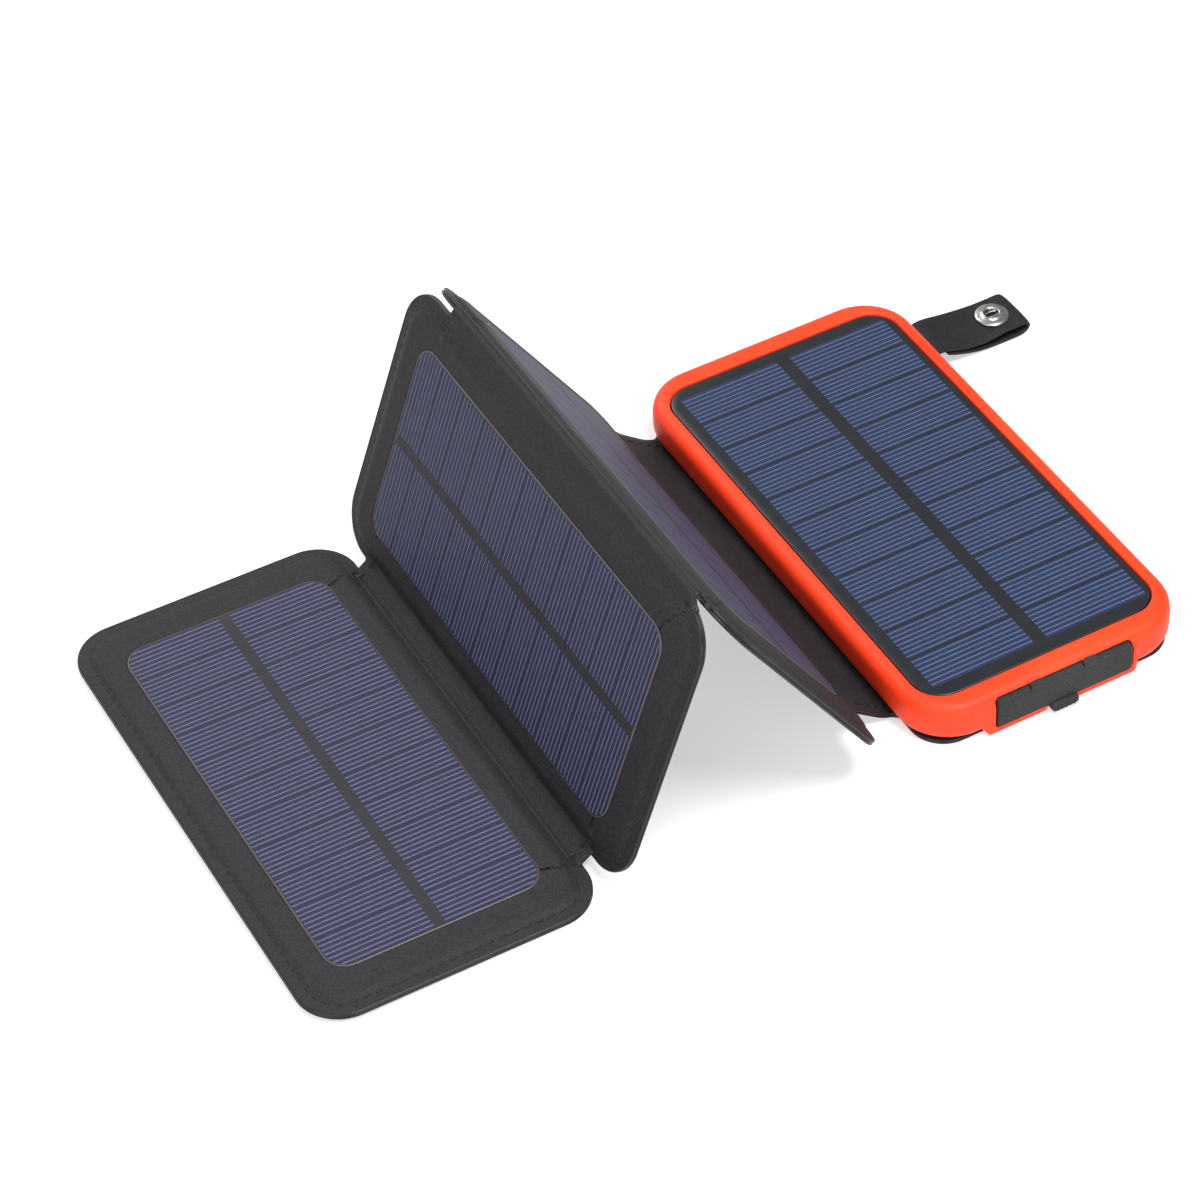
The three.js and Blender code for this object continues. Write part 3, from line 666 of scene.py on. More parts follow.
def add_stitch(mesh, a, b, up, kind=0, radius=THREAD_RADIUS):
    """One stitch from a to b, arched a little and sinking at both ends."""
    a, b, up = Vector(a), Vector(b), Vector(up)
    along = (b - a).normalized()
    side = along.cross(up).normalized()
    loops = []
    for t, lift, girth in STITCH_SHAPE:
        centre = a.lerp(b, t) + up * lift
        loop = []
        for i in range(8):
            angle = 2 * math.pi * i / 8
            spoke = side * math.cos(angle) + up * math.sin(angle) * 0.8
            loop.append(tuple(centre + spoke * radius * girth))
        loops.append(loop)
    mesh.loft(loops, kinds=[kind] * len(loops), caps=(True, True))


def stitch_spots(path):
    """Start and end of each stitch along a list of 2-D points."""
    lengths = np.r_[0, np.cumsum(np.hypot(*np.diff(np.array(path), axis=0).T))]
    total = lengths[-1]
    count = max(1, int((total + STITCH_GAP) / (STITCH_LENGTH + STITCH_GAP)))
    pitch = total / count
    xs, ys = np.array(path).T
    spots = []
    for i in range(count):
        ends = []
        for at in (i * pitch + STITCH_GAP / 2, (i + 1) * pitch - STITCH_GAP / 2):
            ends.append((float(np.interp(at, lengths, xs)), float(np.interp(at, lengths, ys))))
        spots.append(ends)
    return spots


def panel_stitching(link):
    """Seam 3 mm inside the panel's free outline, on both faces; panel 3 gets it on the front only."""
    near, far = OVERHANG[link.name]
    u0, u1 = -near + STITCH_IN, link.length + far - STITCH_IN
    radius, half = CORNER - STITCH_IN, PANEL_HALF - STITCH_IN
    paths = []
    near_strip, far_strip = BESIDE[link.name]
    for sign, end in ((1, 1), (-1, 0)):
        path = [(u0, strip_range(near_strip)[end] - sign * 2.6)]
        for cu, first in ((u0 + radius, 180), (u1 - radius, 90)):
            for s in range(13):
                a = math.radians(first - 90 * s / 12)
                path.append((cu + radius * math.cos(a), sign * (half - radius + radius * math.sin(a))))
        path.append((u1, (strip_range(far_strip)[end] if far_strip else sign * STRIP_HALF) - sign * 2.6))
        paths.append(path)
    if link.name == "panel_3":
        paths.append([(u1, STRIP_HALF - 2.6), (u1, -STRIP_HALF + 2.6)])
    mesh = Mesh()
    c, s = math.cos(link.slope), math.sin(link.slope)
    normal = Vector((s, 0, c))
    for path in paths:
        for (au, ay), (bu, by) in stitch_spots(path):
            for height, up in ((front_height, normal), (back_height, -normal)):
                if link.name == "panel_3" and height is back_height:
                    continue
                a = link.world(au, ay, height(link, au, ay))
                b = link.world(bu, by, height(link, bu, by))
                add_stitch(mesh, a, b, up)
    return mount(mesh.build(f"{link.name}_stitching", [THREAD], weld=False), link.name, "leather")


# -------------------------------------------------------------------- creases
LAP = 1.5                    # how far a crease piece runs on under its neighbours
SIDE_TUCK, LAP_TUCK = 0.1, 0.07
CREASE_STEP = 0.3
CREASE_COLUMNS = 84


class Crease:
    """Leather across one hinge, from part way along link a to part way along link b."""

    def __init__(self, name, a, b, before, after, fillet, groove=0.0, fillet_end=2.2, spread=None):
        self.name, self.a, self.b = name, a, b
        self.before, self.after, self.fillet, self.groove = before, after, fillet, groove
        self.fillet_end = fillet_end
        self.spread = spread or fillet + 0.2
        self.shift = STRIP_SHIFT[a.name if a.name in STRIP_SHIFT else b.name]
        self.turn = b.slope - a.slope
        self.hinge = (b.x, b.z)

    def station(self, s):
        """Centre, slope and signed bend radius at s past the hinge."""
        e = self.fillet
        if abs(self.turn) < 0.02 or s <= -e or s >= e:
            link = self.a if s < 0 else self.b
            x = self.hinge[0] - s * math.cos(link.slope)
            z = self.hinge[1] + s * math.sin(link.slope)
            return x, z, link.slope
        radius = e / math.tan(abs(self.turn) / 2)
        side = 1 if self.turn > 0 else -1
        ax = self.hinge[0] + e * math.cos(self.a.slope)
        az = self.hinge[1] - e * math.sin(self.a.slope)
        cx = ax + side * radius * math.sin(self.a.slope)
        cz = az + side * radius * math.cos(self.a.slope)
        slope = self.a.slope + self.turn * (s + e) / (2 * e)
        return cx - side * radius * math.sin(slope), cz - side * radius * math.cos(slope), slope

    def place(self, s, y, w):
        x, z, slope = self.station(s)
        return (x + w * math.sin(slope), y, z + w * math.cos(slope))

    def heights(self, s, y):
        t = smoothstep(s, -2.0, 2.0)
        on_a, on_b = self.a.length + s, s
        top = front_height(self.a, on_a, y) * (1 - t) + front_height(self.b, on_b, y) * t
        back = back_height(self.a, on_a, y) * (1 - t) + back_height(self.b, on_b, y) * t
        press = self.groove * math.exp(-(s / 0.75) ** 2)
        pucker = 0.10 * wobble(s * 0.4, y, 6, self.hinge[0]) * (1 - smoothstep(abs(s), 3.0, 5.0))
        return top - press + pucker, back + pucker * 0.5

    def inside_panel(self, s):
        """How far station s is inside a neighbouring panel's outline, negative over the open strip."""
        deep = -99.0
        if self.a.panel:
            deep = max(deep, -s + OVERHANG[self.a.name][1])
        if self.b.panel:
            deep = max(deep, s + OVERHANG[self.b.name][0])
        return deep

    def reach(self, s):
        """How far the strip goes past its half width, rounded into the panels' corners and under them."""
        deep = self.inside_panel(s)
        if deep >= 0:
            return self.fillet_end
        d = self.fillet_end + deep
        if d <= 0:
            return 0.0
        return self.fillet_end - math.sqrt(self.fillet_end ** 2 - d * d)

    def build(self):
        stations = np.arange(-self.before - LAP, self.after + LAP + 1e-6, CREASE_STEP)
        columns = CREASE_COLUMNS
        rim = RIM[1:-1]
        loops, flats = [], []
        for s in stations:
            half = STRIP_HALF + self.reach(s)
            hidden = smoothstep(self.inside_panel(s), 0.0, 0.8)
            lapped = max(smoothstep(-s, self.before, self.before + 0.5),
                         smoothstep(s, self.after, self.after + 0.5))

            def faces(y):
                """Heights of the two faces, drawn in a little where they lie under a panel's cover."""
                past_end = smoothstep(abs(y), STRIP_HALF - 0.2, STRIP_HALF + 0.6)
                under = SIDE_TUCK * hidden * past_end + LAP_TUCK * lapped
                top, back = self.heights(s, self.shift + y)
                return top - under, back + under

            section = []
            for i in range(columns + 1):
                y = -half + 2 * half * i / columns
                section.append((y, faces(y)[0]))
            top, back = faces(half)
            section += [(half + 0.9 * a, back + (top - back) * b) for a, b in rim]
            for i in range(columns + 1):
                y = half - 2 * half * i / columns
                section.append((y, faces(y)[1]))
            top, back = faces(-half)
            section += [(-half - 0.9 * a, back + (top - back) * b) for a, b in reversed(rim)]
            loops.append([self.place(s, self.shift + y, w) for y, w in section])
            flats.append([(s + self.hinge[0] * 3, y, w) for y, w in section])
        mesh = Mesh()
        mesh.loft(loops, flats)
        rim_count = len(rim)
        count = len(loops[0])
        first_rim = range(columns, columns + rim_count + 1)
        second_rim = range(2 * columns + rim_count + 1, count)
        for band in range(len(stations) - 1):
            for i in (*first_rim, *second_rim):
                mesh.kinds[band * count + i] = 1
        self.add_seam(mesh)
        piece = mesh.build(f"{self.name}_crease", [LEATHER, LEATHER_EDGE, THREAD], weld=False)
        start = Vector(self.place(-self.spread, 0, 0)) * MM
        end = Vector(self.place(self.spread, 0, 0)) * MM
        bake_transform(piece)
        return piece

    def add_seam(self, mesh):
        """Stitches across the strip near both of its ends."""
        first = -self.before + 0.3 if not self.a.panel else -OVERHANG[self.a.name][1] - 0.2
        last = self.after - 0.3 if not self.b.panel else OVERHANG[self.b.name][0] + 0.2
        if last - first < 1.5:
            return
        for y in (self.shift + STRIP_HALF - 2.8, self.shift - STRIP_HALF + 2.8):
            count = max(1, round((last - first) / (STITCH_LENGTH + STITCH_GAP)))
            pitch = (last - first) / count
            for i in range(count):
                s0, s1 = first + i * pitch + STITCH_GAP / 2, first + (i + 1) * pitch - STITCH_GAP / 2
                for face, sign in ((0, 1), (1, -1)):
                    mid_slope = self.station((s0 + s1) / 2)[2]
                    up = Vector((math.sin(mid_slope), 0, math.cos(mid_slope))) * sign
                    ends = [self.place(s, y, self.heights(s, y)[face]) for s in (s0, s1)]
                    add_stitch(mesh, ends[0], ends[1], up, 2)


class TongueCrease(Crease):
    """The first crease starts under the bank, where the tongue flares out to the base."""

    def reach(self, s):
        return 2.4 * float(smoothstep(-s, 1.0, 5.0))


# Where the two pieces on each strip meet, from its near hinge.
SEAM_MID = {"riser": 7.6, "ridge": 0.9, "valley": 3.45}
# Name, links, reach before and after the hinge, bend length, groove, end rounding, blend reach.
creases = [
    TongueCrease("tongue", TONGUE, RISER, 4.6, SEAM_MID["riser"], 3.2, 0.0),
    Crease("panel_1", RISER, PANEL_1, RISER.length - SEAM_MID["riser"], CUT_IN["panel_1"][0],
           2.0, 0.3, 4.0),
    Crease("ridge", PANEL_1, RIDGE, CUT_IN["panel_1"][1], SEAM_MID["ridge"], 0.6, 0.1),
    Crease("panel_2", RIDGE, PANEL_2, RIDGE.length - SEAM_MID["ridge"], CUT_IN["panel_2"][0],
           2.2, 0.0, 2.4, 4.4),
    Crease("valley", PANEL_2, VALLEY, CUT_IN["panel_2"][1], SEAM_MID["valley"], 2.4, 0.22, 0.8),
    Crease("panel_3", VALLEY, PANEL_3, VALLEY.length - SEAM_MID["valley"], CUT_IN["panel_3"][0],
           2.4, 0.5, 0.8),
]
crease_pieces = {c.name: c.build() for c in creases}
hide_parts("riser_front_skin")
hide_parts("riser_back_skin")
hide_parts("ridge_front_skin")
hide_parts("ridge_back_skin")
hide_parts("valley_front_skin")
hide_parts("valley_back_skin")
for panel in (PANEL_1, PANEL_2, PANEL_3):
    panel_cover(panel)
    panel_stitching(panel)


# ------------------------------------------------------------- solar windows
CELL_ROWS = 11
CELL_OVER = 0.03             # cells over their resin sheet
BANK_CELLS_HALF_X, BANK_CELLS_LENGTH, BANK_CELLS_GAP, BANK_CELL_SHIFT = 32.5, 129.3, 4.0, 0.9
PANEL_CELLS_GAP = 3.2
BANK_PITCH = BANK_CELLS_LENGTH / CELL_ROWS
PANEL_CELL_HALF = WINDOW_HALF - 0.7
PANEL_PITCH = 2 * PANEL_CELL_HALF / CELL_ROWS
BANK_CELL = cell_material("bank_cell", (0.01, 0.018, 0.05), (0.015, 0.026, 0.066), (0.07, 0.098, 0.175),
                          BANK_PITCH, 0.34, 0.36, 0.12)
PANEL_CELL = cell_material("panel_cell", (0.01, 0.011, 0.034), (0.016, 0.0175, 0.047), (0.1, 0.1, 0.165),
                           PANEL_PITCH, 0.36, 0.6, 0.0)


def sheet_mesh(name, outline_fn, top, bottom, to_world, materials):
    """Flat resin sheet with a bevelled edge; outline_fn(inset) gives its loop."""
    mesh = Mesh()
    levels = ((2.0, top), (0.35, top), (0.12, top - 0.06), (0.0, top - 0.2), (0.0, bottom), (2.0, bottom))
    loops = [[to_world(x, y, z) for x, y in outline_fn(inset)] for inset, z in levels]
    flats = [[(x, y, z) for x, y in outline_fn(inset)] for inset, z in levels]
    mesh.loft(loops, flats, kinds=[0, 1, 1, 1, 0, 0], caps=(True, True))
    piece = mesh.build(name, materials)
    sharpen(piece, 40)
    return piece


def cell_column(name, outer, half_y, gap, row_gap, corner, side, top, to_world, material, shift=0.0):
    """A column of thin cell plates, with rounded outer corners where the window has them."""
    rows = CELL_ROWS
    pitch = 2 * half_y / rows
    inner = gap / 2
    data = bpy.data.meshes.new(name)
    points, faces, uvs = [], [], []
    for row in range(rows):
        low = -half_y + row * pitch + (row_gap / 2 if row else 0.0)
        high = -half_y + (row + 1) * pitch - (row_gap / 2 if row < rows - 1 else 0.0)
        shape = [(inner, low), (outer, low), (outer, high), (inner, high)]
        if corner and row in (0, rows - 1):
            cy = low + corner if row == 0 else high - corner
            span = (-90, 0) if row == 0 else (0, 90)
            turns = [math.radians(a) for a in np.linspace(*span, 9)]
            arc = [(outer - corner + corner * math.cos(a), cy + corner * math.sin(a)) for a in turns]
            outer_side = [*arc, (outer, high)] if row == 0 else [(outer, low), *arc]
            shape = [(inner, low), *outer_side, (inner, high)]
        if side < 0:
            shape = [(-x, y) for x, y in reversed(shape)]
        shape = [(x + shift, y) for x, y in shape]
        first, n = len(points), len(shape)
        for z in (top - 0.06, top):
            points += [to_world(x, y, z) for x, y in shape]
            uvs += [(x / 100, (y + half_y) / 100) for x, y in shape]
        faces.append(tuple(first + n + i for i in range(n)))
        faces += [(first + i, first + (i + 1) % n, first + n + (i + 1) % n, first + n + i) for i in range(n)]
    data.from_pydata((np.array(points) * MM).tolist(), [], faces)
    layer = data.uv_layers.new(name="cell")
    for loop in data.loops:
        layer.data[loop.index].uv = uvs[loop.vertex_index]
    data.materials.append(material)
    data.update()
    piece = bpy.data.objects.new(name, data)
    bpy.context.scene.collection.objects.link(piece)
    return piece


def panel_window(link):
    middle = WINDOW_AT[link.name] + WINDOW_WIDTH / 2

    def to_world(x, y, z):
        return link.world(middle + x, y, z)

    def outline(inset):
        reach = 0.12 + inset
        corner = max(WINDOW_CORNER - reach, 1.0)
        return rounded_loop(WINDOW_WIDTH / 2 - reach, WINDOW_HALF - reach, corner, 10)

    # The bevel bands take the second, lighter resin: a painted highlight line around each panel window.
    materials = [PANEL_RESIN, RESIN_EDGE_PAINTED_HIGHLIGHT]
    sheet = sheet_mesh(f"{link.name}_window", outline, GLASS_TOP, 1.05, to_world, materials)
    mount(sheet, link.name, "panel_resin", f"{link.name}_laminate")
    for side, word in ((-1, "left"), (1, "right")):
        cells = cell_column(f"{link.name}_solar_cells_{word}", WINDOW_WIDTH / 2 - 0.75, PANEL_CELL_HALF,
                            PANEL_CELLS_GAP, 0.25, WINDOW_CORNER - 0.8, side, GLASS_TOP + CELL_OVER,
                            to_world, PANEL_CELL)
        mount(cells, link.name, "solar_cell", f"{link.name}_cells_{word}")


for panel in (PANEL_1, PANEL_2, PANEL_3):
    panel_window(panel)

def bank_window():
    low, high = box_mm("bank_laminate")
    glass_top = high[2]

    def to_world(x, y, z):
        return (x, y, z)

    def outline(inset):
        return rounded_loop(high[0] - 0.05 - inset, high[1] - 0.05 - inset, 8.2 - min(inset, 2.0), 12)

    sheet = sheet_mesh("bank_window", outline, glass_top, low[2], to_world, [BANK_RESIN, BANK_RESIN])
    mount(sheet, "bank", "panel_resin", "bank_laminate")
    for side, word in ((-1, "left"), (1, "right")):
        cells = cell_column(f"bank_solar_cells_{word}", BANK_CELLS_HALF_X, BANK_CELLS_LENGTH / 2,
                            BANK_CELLS_GAP, 0.75, 0.0, side, glass_top + CELL_OVER,
                            to_world, BANK_CELL, BANK_CELL_SHIFT)
        mount(cells, "bank", "solar_cell", f"bank_cells_{word}")


bank_window()

# ----------------------------------------------------------------- the bumper
bumper_low, bumper_high = box_mm("bumper")
HALF_X, HALF_Y = bumper_high[0], bumper_high[1]
BANK_CORNER = 15.0
RIM_X, RIM_Y, RIM_CORNER = 35.9, 69.2, 8.5
BEZEL_X = (-22.7, 23.1)
BEZEL_FRONT = -bumper_low[1]
BEZEL_BOTTOM = bumper_low[2]
COVER_X = (box_mm("port_cover")[0][0], box_mm("port_cover")[1][0])
COVER_Z = (2.6, 11.6)
# Inset from the outer wall and height, from the bottom lip up over the shoulder.
BUMPER_SIDE = (
    (3.9, 3.2), (3.9, 2.0), (3.1, 1.9), (2.2, 2.0), (1.4, 2.35), (0.75, 2.95), (0.3, 3.8), (0.08, 4.8),
    (0.0, 6.0), (0.0, 7.6), (0.0, 9.0), (0.06, 10.0), (0.26, 10.9), (0.62, 11.65), (1.15, 12.25),
    (1.8, 12.68), (2.55, 12.94), (3.3, 13.06), (4.1, 13.1))
# Reach past the window rim and height, from the crown down the rim's wall.
BUMPER_RIM = ((0.75, 13.1), (0.32, 13.04), (0.08, 12.86), (0.0, 12.6), (0.0, 11.3))
BUMPER_WALL = 2.3
BEZEL_TOP = 11.0
LIP_BOTTOM = 1.9


def inset_rounded(points, half_x, half_y, corner, inset):
    """Moves a rounded outline's points in by the inset."""
    moved = []
    for x, y in points:
        cx = min(max(x, -half_x + corner), half_x - corner)
        cy = min(max(y, -half_y + corner), half_y - corner)
        dx, dy = x - cx, y - cy
        size = math.hypot(dx, dy)
        moved.append((x - inset * dx / size, y - inset * dy / size))
    return moved


def bumper_shell():
    outer = rounded_loop(HALF_X, HALF_Y, BANK_CORNER, 18, 0.8)

    def inset_loop(inset):
        return inset_rounded(outer, HALF_X, HALF_Y, BANK_CORNER, inset)

    def rim_loop(extra):
        """Points of the window rim that match the outer wall's points."""
        moved = []
        for x, y in outer:
            ox = min(max(x, -HALF_X + BANK_CORNER), HALF_X - BANK_CORNER)
            oy = min(max(y, -HALF_Y + BANK_CORNER), HALF_Y - BANK_CORNER)
            dx, dy = (x - ox) / BANK_CORNER, (y - oy) / BANK_CORNER
            kx = ox * (RIM_X - RIM_CORNER) / (HALF_X - BANK_CORNER)
            ky = oy * (RIM_Y - RIM_CORNER) / (HALF_Y - BANK_CORNER)
            reach = RIM_CORNER + extra
            moved.append((kx + dx * reach, ky + dy * reach))
        return moved

    def bezel_share(x, y):
        if y > -HALF_Y + BANK_CORNER:
            return 0.0
        rising = smoothstep(x, BEZEL_X[0] - 0.7, BEZEL_X[0] + 0.5)
        falling = smoothstep(x, BEZEL_X[1] - 0.5, BEZEL_X[1] + 0.7)
        return float(rising * (1 - falling))

    loops = []
    for inset, z in BUMPER_SIDE:
        loop = []
        for (x, y), (ox, oy) in zip(inset_loop(inset), outer):
            share = bezel_share(ox, oy)
            if share > 0 and z < BEZEL_TOP:
                wall_y = -BEZEL_FRONT + min(inset, 0.75) * 0.25
                risen = (z - LIP_BOTTOM) / (BEZEL_TOP - LIP_BOTTOM)
                flat_z = BEZEL_BOTTOM + risen * (BEZEL_TOP - BEZEL_BOTTOM)
                blend_in = 1 - smoothstep(z, 9.5, BEZEL_TOP)
                y = y + (min(wall_y, y) - y) * share * (blend_in if z > 9.5 else 1.0)
                if inset > 3.5:
                    y = y + (-75.4 - y) * share
                z_here = z + (flat_z - z) * share
            else:
                z_here = z
            loop.append((x, y, z_here))
        loops.append(loop)
    for extra, z in BUMPER_RIM:
        loops.append([(x, y, z) for x, y in rim_loop(extra)])
    for z in (11.3, 3.7):
        loops.append([(x, y, z) for x, y in inset_loop(BUMPER_WALL)])
    mesh = Mesh()
    mesh.loft(loops, ring=True)
    return mesh.build("bumper_shell", [ORANGE])


def cutter(points_fn, depth_stations):
    """Closed tool to be cut out of the bumper, lofted through the loops that points_fn gives."""
    mesh = Mesh()
    mesh.loft([[tuple(p) for p in points_fn(*d)] for d in depth_stations], caps=(True, True))
    return mesh.build("cutter", [ORANGE], weld=False)


def port_cutter():
    """Rounded opening for the port cover with a flared mouth."""
    mid_x, mid_z = sum(COVER_X) / 2, sum(COVER_Z) / 2
    half_x, half_z = (COVER_X[1] - COVER_X[0]) / 2 + 0.35, (COVER_Z[1] - COVER_Z[0]) / 2 + 0.3

    def loop(y, grow):
        ring = rounded_loop(half_x + grow, half_z + grow, 1.4 + grow, 6)
        return [(mid_x + x, y, mid_z + z) for x, z in ring]
    return cutter(loop, [(-72.0, 0.0), (-76.0, 0.0), (-76.5, 0.1), (-76.9, 0.32), (-78.5, 1.6)])


def notch_cutter(x0, x1, z0, z1, y0, y1, radius):
    def loop(y):
        ring = rounded_loop((x1 - x0) / 2, (z1 - z0) / 2, radius, 5)
        return [((x0 + x1) / 2 + x, y, (z0 + z1) / 2 + z) for x, z in ring]
    return cutter(loop, [(y1,), (y0,)])


def side_cutter(y, z, half_y, half_z, radius):
    def loop(x, grow):
        ring = rounded_loop(half_y + grow, half_z + grow, radius + grow, 8)
        return [(x, y + a, z + b) for a, b in ring]
    return cutter(loop, [(HALF_X - 4, 0.0), (HALF_X - 0.5, 0.0), (HALF_X + 0.1, 0.3), (HALF_X + 0.6, 0.5)])


def cut_away(piece, tools):
    for tool in tools:
        modifier = piece.modifiers.new("cut", "BOOLEAN")
        modifier.operation = "DIFFERENCE"
        modifier.solver = "EXACT"
        modifier.object = tool
    bpy.context.view_layer.update()
    evaluated = piece.evaluated_get(bpy.context.evaluated_depsgraph_get())
    result = bpy.data.meshes.new_from_object(evaluated)
    piece.modifiers.clear()
    piece.data = result
    for tool in tools:
        bpy.data.objects.remove(tool)
    return piece


BUTTON_Y, BUTTON_Z = -58.0, 6.55
LENS_Y = [sum(box_mm(f"status_lens_{i}")[k][1] for k in (0, 1)) / 2 for i in range(1, 5)]
LUG_X, LUG_HALF, LUG_PLAY = 8.0, 2.3, 0.45


def bumper():
    shell = bumper_shell()
    outward_faces(shell)
    tools = [port_cutter(), notch_cutter(-4.8, 4.8, -0.5, 3.2, -79, -75.9, 0.8)]
    for side in (-1, 1):
        x0, x1 = side * LUG_X - LUG_HALF - LUG_PLAY, side * LUG_X + LUG_HALF + LUG_PLAY
        tools.append(notch_cutter(x0, x1, 10.5, 13.0, -79, -75.45, 1.0))
    tools.append(side_cutter(BUTTON_Y, BUTTON_Z, 4.85, 2.15, 2.1))
    tools += [side_cutter(y, BUTTON_Z, 1.55, 1.55, 1.5) for y in LENS_Y]
    for tool in tools:
        outward_faces(tool)
    cut_away(shell, tools)
    shell.name = "bumper_body"
    sharpen(shell, 38)
    return mount(shell, "bank", "orange_rubber", "bumper")


bumper()


# ------------------------------------------------- port cover, button, lenses
def slab_y(mesh, half_x, half_z, radius, centre, stations, kind=0):
    """Rounded slab facing -Y: stations are (y, inset)."""
    loops = []
    for y, inset in stations:
        ring = rounded_loop(half_x - inset, half_z - inset, max(radius - inset, 0.1), 6)
        loops.append([(centre[0] + x, y, centre[1] + z) for x, z in ring])
    mesh.loft(loops, caps=(True, True), kinds=[kind] * len(loops))


def port_cover():
    mesh = Mesh()
    mid = (sum(COVER_X) / 2, sum(COVER_Z) / 2)
    half_x, half_z = (COVER_X[1] - COVER_X[0]) / 2, (COVER_Z[1] - COVER_Z[0]) / 2
    slab_y(mesh, half_x, half_z, 1.3, mid,
           [(-75.2, 0.0), (-76.5, 0.0), (-76.85, 0.06), (-77.05, 0.22), (-77.15, 0.5), (-77.2, 1.2)])
    for side in (-1, 1):
        slab_y(mesh, LUG_HALF, 1.35, 1.1, (side * LUG_X, 11.75),
               [(-75.7, 0.3), (-76.3, 0.0), (-77.0, 0.0), (-77.3, 0.12), (-77.42, 0.4)])
    slab_y(mesh, 4.0, 1.25, 0.9, (0.0, 1.95),
           [(-76.1, 0.2), (-76.5, 0.0), (-77.9, 0.0), (-78.25, 0.15), (-78.4, 0.5)])
    for i in range(5):
        slab_y(mesh, 0.22, 0.95, 0.2, (-2.4 + 1.2 * i, 1.95), [(-78.2, 0.0), (-78.5, 0.0), (-78.58, 0.1)])
    plugs = (("usb_a_socket_1", 4.0, 0.8), ("usb_a_socket_2", 4.0, 0.8), ("usb_input_socket", 1.3, 0.3))
    for node, plug_half, plug_high in plugs:
        lo, hi = box_mm(node)
        centre = ((lo[0] + hi[0]) / 2, lo[2] + 0.65 + plug_high)
        slab_y(mesh, plug_half, plug_high, 0.25, centre, [(-72.6, 0.15), (-72.9, 0.0), (-75.4, 0.0)])
    piece = mesh.build("port_cover_flap", [BLACK_RUBBER])
    outward_faces(piece)
    sharpen(piece, 50)
    return mount(piece, "port_cover", "black_rubber", "port_cover")


port_cover()


def power_button():
    mesh = Mesh()
    loops = []
    face = box_mm("power_button")[1][0]
    stations = ((-6.5, 1.2), (-6.0, 0.5), (-5.2, 0.0), (-0.4, 0.0), (-0.15, 0.12), (-0.02, 0.4), (0.05, 1.0))
    for x, inset in ((face + step, inset) for step, inset in stations):
        ring = rounded_loop(4.5 - inset, 1.8 - inset * 0.9, 1.79 - inset * 0.9, 10)
        loops.append([(x, BUTTON_Y + a, BUTTON_Z + b) for a, b in ring])
    mesh.loft(loops, caps=(True, True))
    dot = [(0.0, face + 0.07), (0.7, face + 0.07), (0.72, face)]
    lathe(mesh, dot, (0, BUTTON_Y, BUTTON_Z), (1, 0, 0), 24)
    piece = mesh.build("power_button_cap", [BUTTON_RUBBER])
    outward_faces(piece)
    sharpen(piece, 50)
    return mount(piece, "power_button", "black_rubber", "power_button")


power_button()

lens_face = box_mm("status_lens_1")[1][0]
# Radius and depth behind the face of a status lens.
LENS_SHAPE = ((0.0, 2.3), (1.3, 2.3), (1.3, 0.4), (1.15, 0.15), (0.8, 0.02), (0.0, 0.0))
for number, lens_y in enumerate(LENS_Y, 1):
    lens = Mesh()
    profile = [(r, lens_face - depth) for r, depth in LENS_SHAPE]
    lathe(lens, profile, (0, lens_y, BUTTON_Z), (1, 0, 0), 32)
    mount(lens.build(f"status_light_{number}", [LENS]), "bank", "clear_lens", f"status_lens_{number}")


# --------------------------------------------------------------- leather base
BASE_HALF_X, BASE_HALF_Y, BASE_CORNER, BASE_TOP = 38.0, 73.8, 9.5, 1.4
# Inset and height of the underside's loops, with the pressed seam 3 mm in.
BASE_UNDERSIDE = ((0.5, 0.0), (1.5, 0.0), (2.5, 0.12), (STITCH_IN, 0.2), (3.5, 0.12), (4.5, 0.0), (9.0, 0.0))


def base_cover():
    """Leather-wrapped board under the bank, with the same double sealed edge as the panels."""
    outer = rounded_loop(BASE_HALF_X, BASE_HALF_Y, BASE_CORNER, 20, 2.2)
    rings, kinds = [], []

    def ring(inset, z, kind):
        moved = inset_rounded(outer, BASE_HALF_X, BASE_HALF_Y, BASE_CORNER, inset)
        rings.append([(x, y, z) for x, y in moved])
        kinds.append(kind)

    for inset in (9.0, 6.0, 2.0):
        ring(inset, BASE_TOP, 0)
    ring(0.3, BASE_TOP - 0.03, 1)
    for swell, share in RIM:
        ring(0.1 - swell * 0.8, 0.03 + (BASE_TOP - 0.06) * share, 1)
    for inset, z in BASE_UNDERSIDE:
        ring(inset, z, 0)
    mesh = Mesh()
    mesh.loft(rings, kinds=kinds, caps=(True, True))
    piece = mesh.build("base_cover", [LEATHER, LEATHER_EDGE])
    return mount(piece, "bank", "leather", "base_leather")


base_cover()


def base_stitching():
    """Seam on the underside of the base, sunk in its groove."""
    mesh = Mesh()
    half_x, half_y = BASE_HALF_X - STITCH_IN, BASE_HALF_Y - STITCH_IN
    loop = [tuple(p) for p in rounded_loop(half_x, half_y, BASE_CORNER - STITCH_IN, 16)]
    for (ax, ay), (bx, by) in stitch_spots(loop + loop[:1]):
        add_stitch(mesh, (ax, ay, 0.26), (bx, by, 0.26), (0, 0, -1), radius=0.2)
    return mount(mesh.build("base_stitching", [THREAD], weld=False), "bank", "leather")


base_stitching()

# ---------------------------------------------------------------------- strap
STRAP_Y, STRAP_HALF, STRAP_THICK = 57.5, 7.25, 1.15
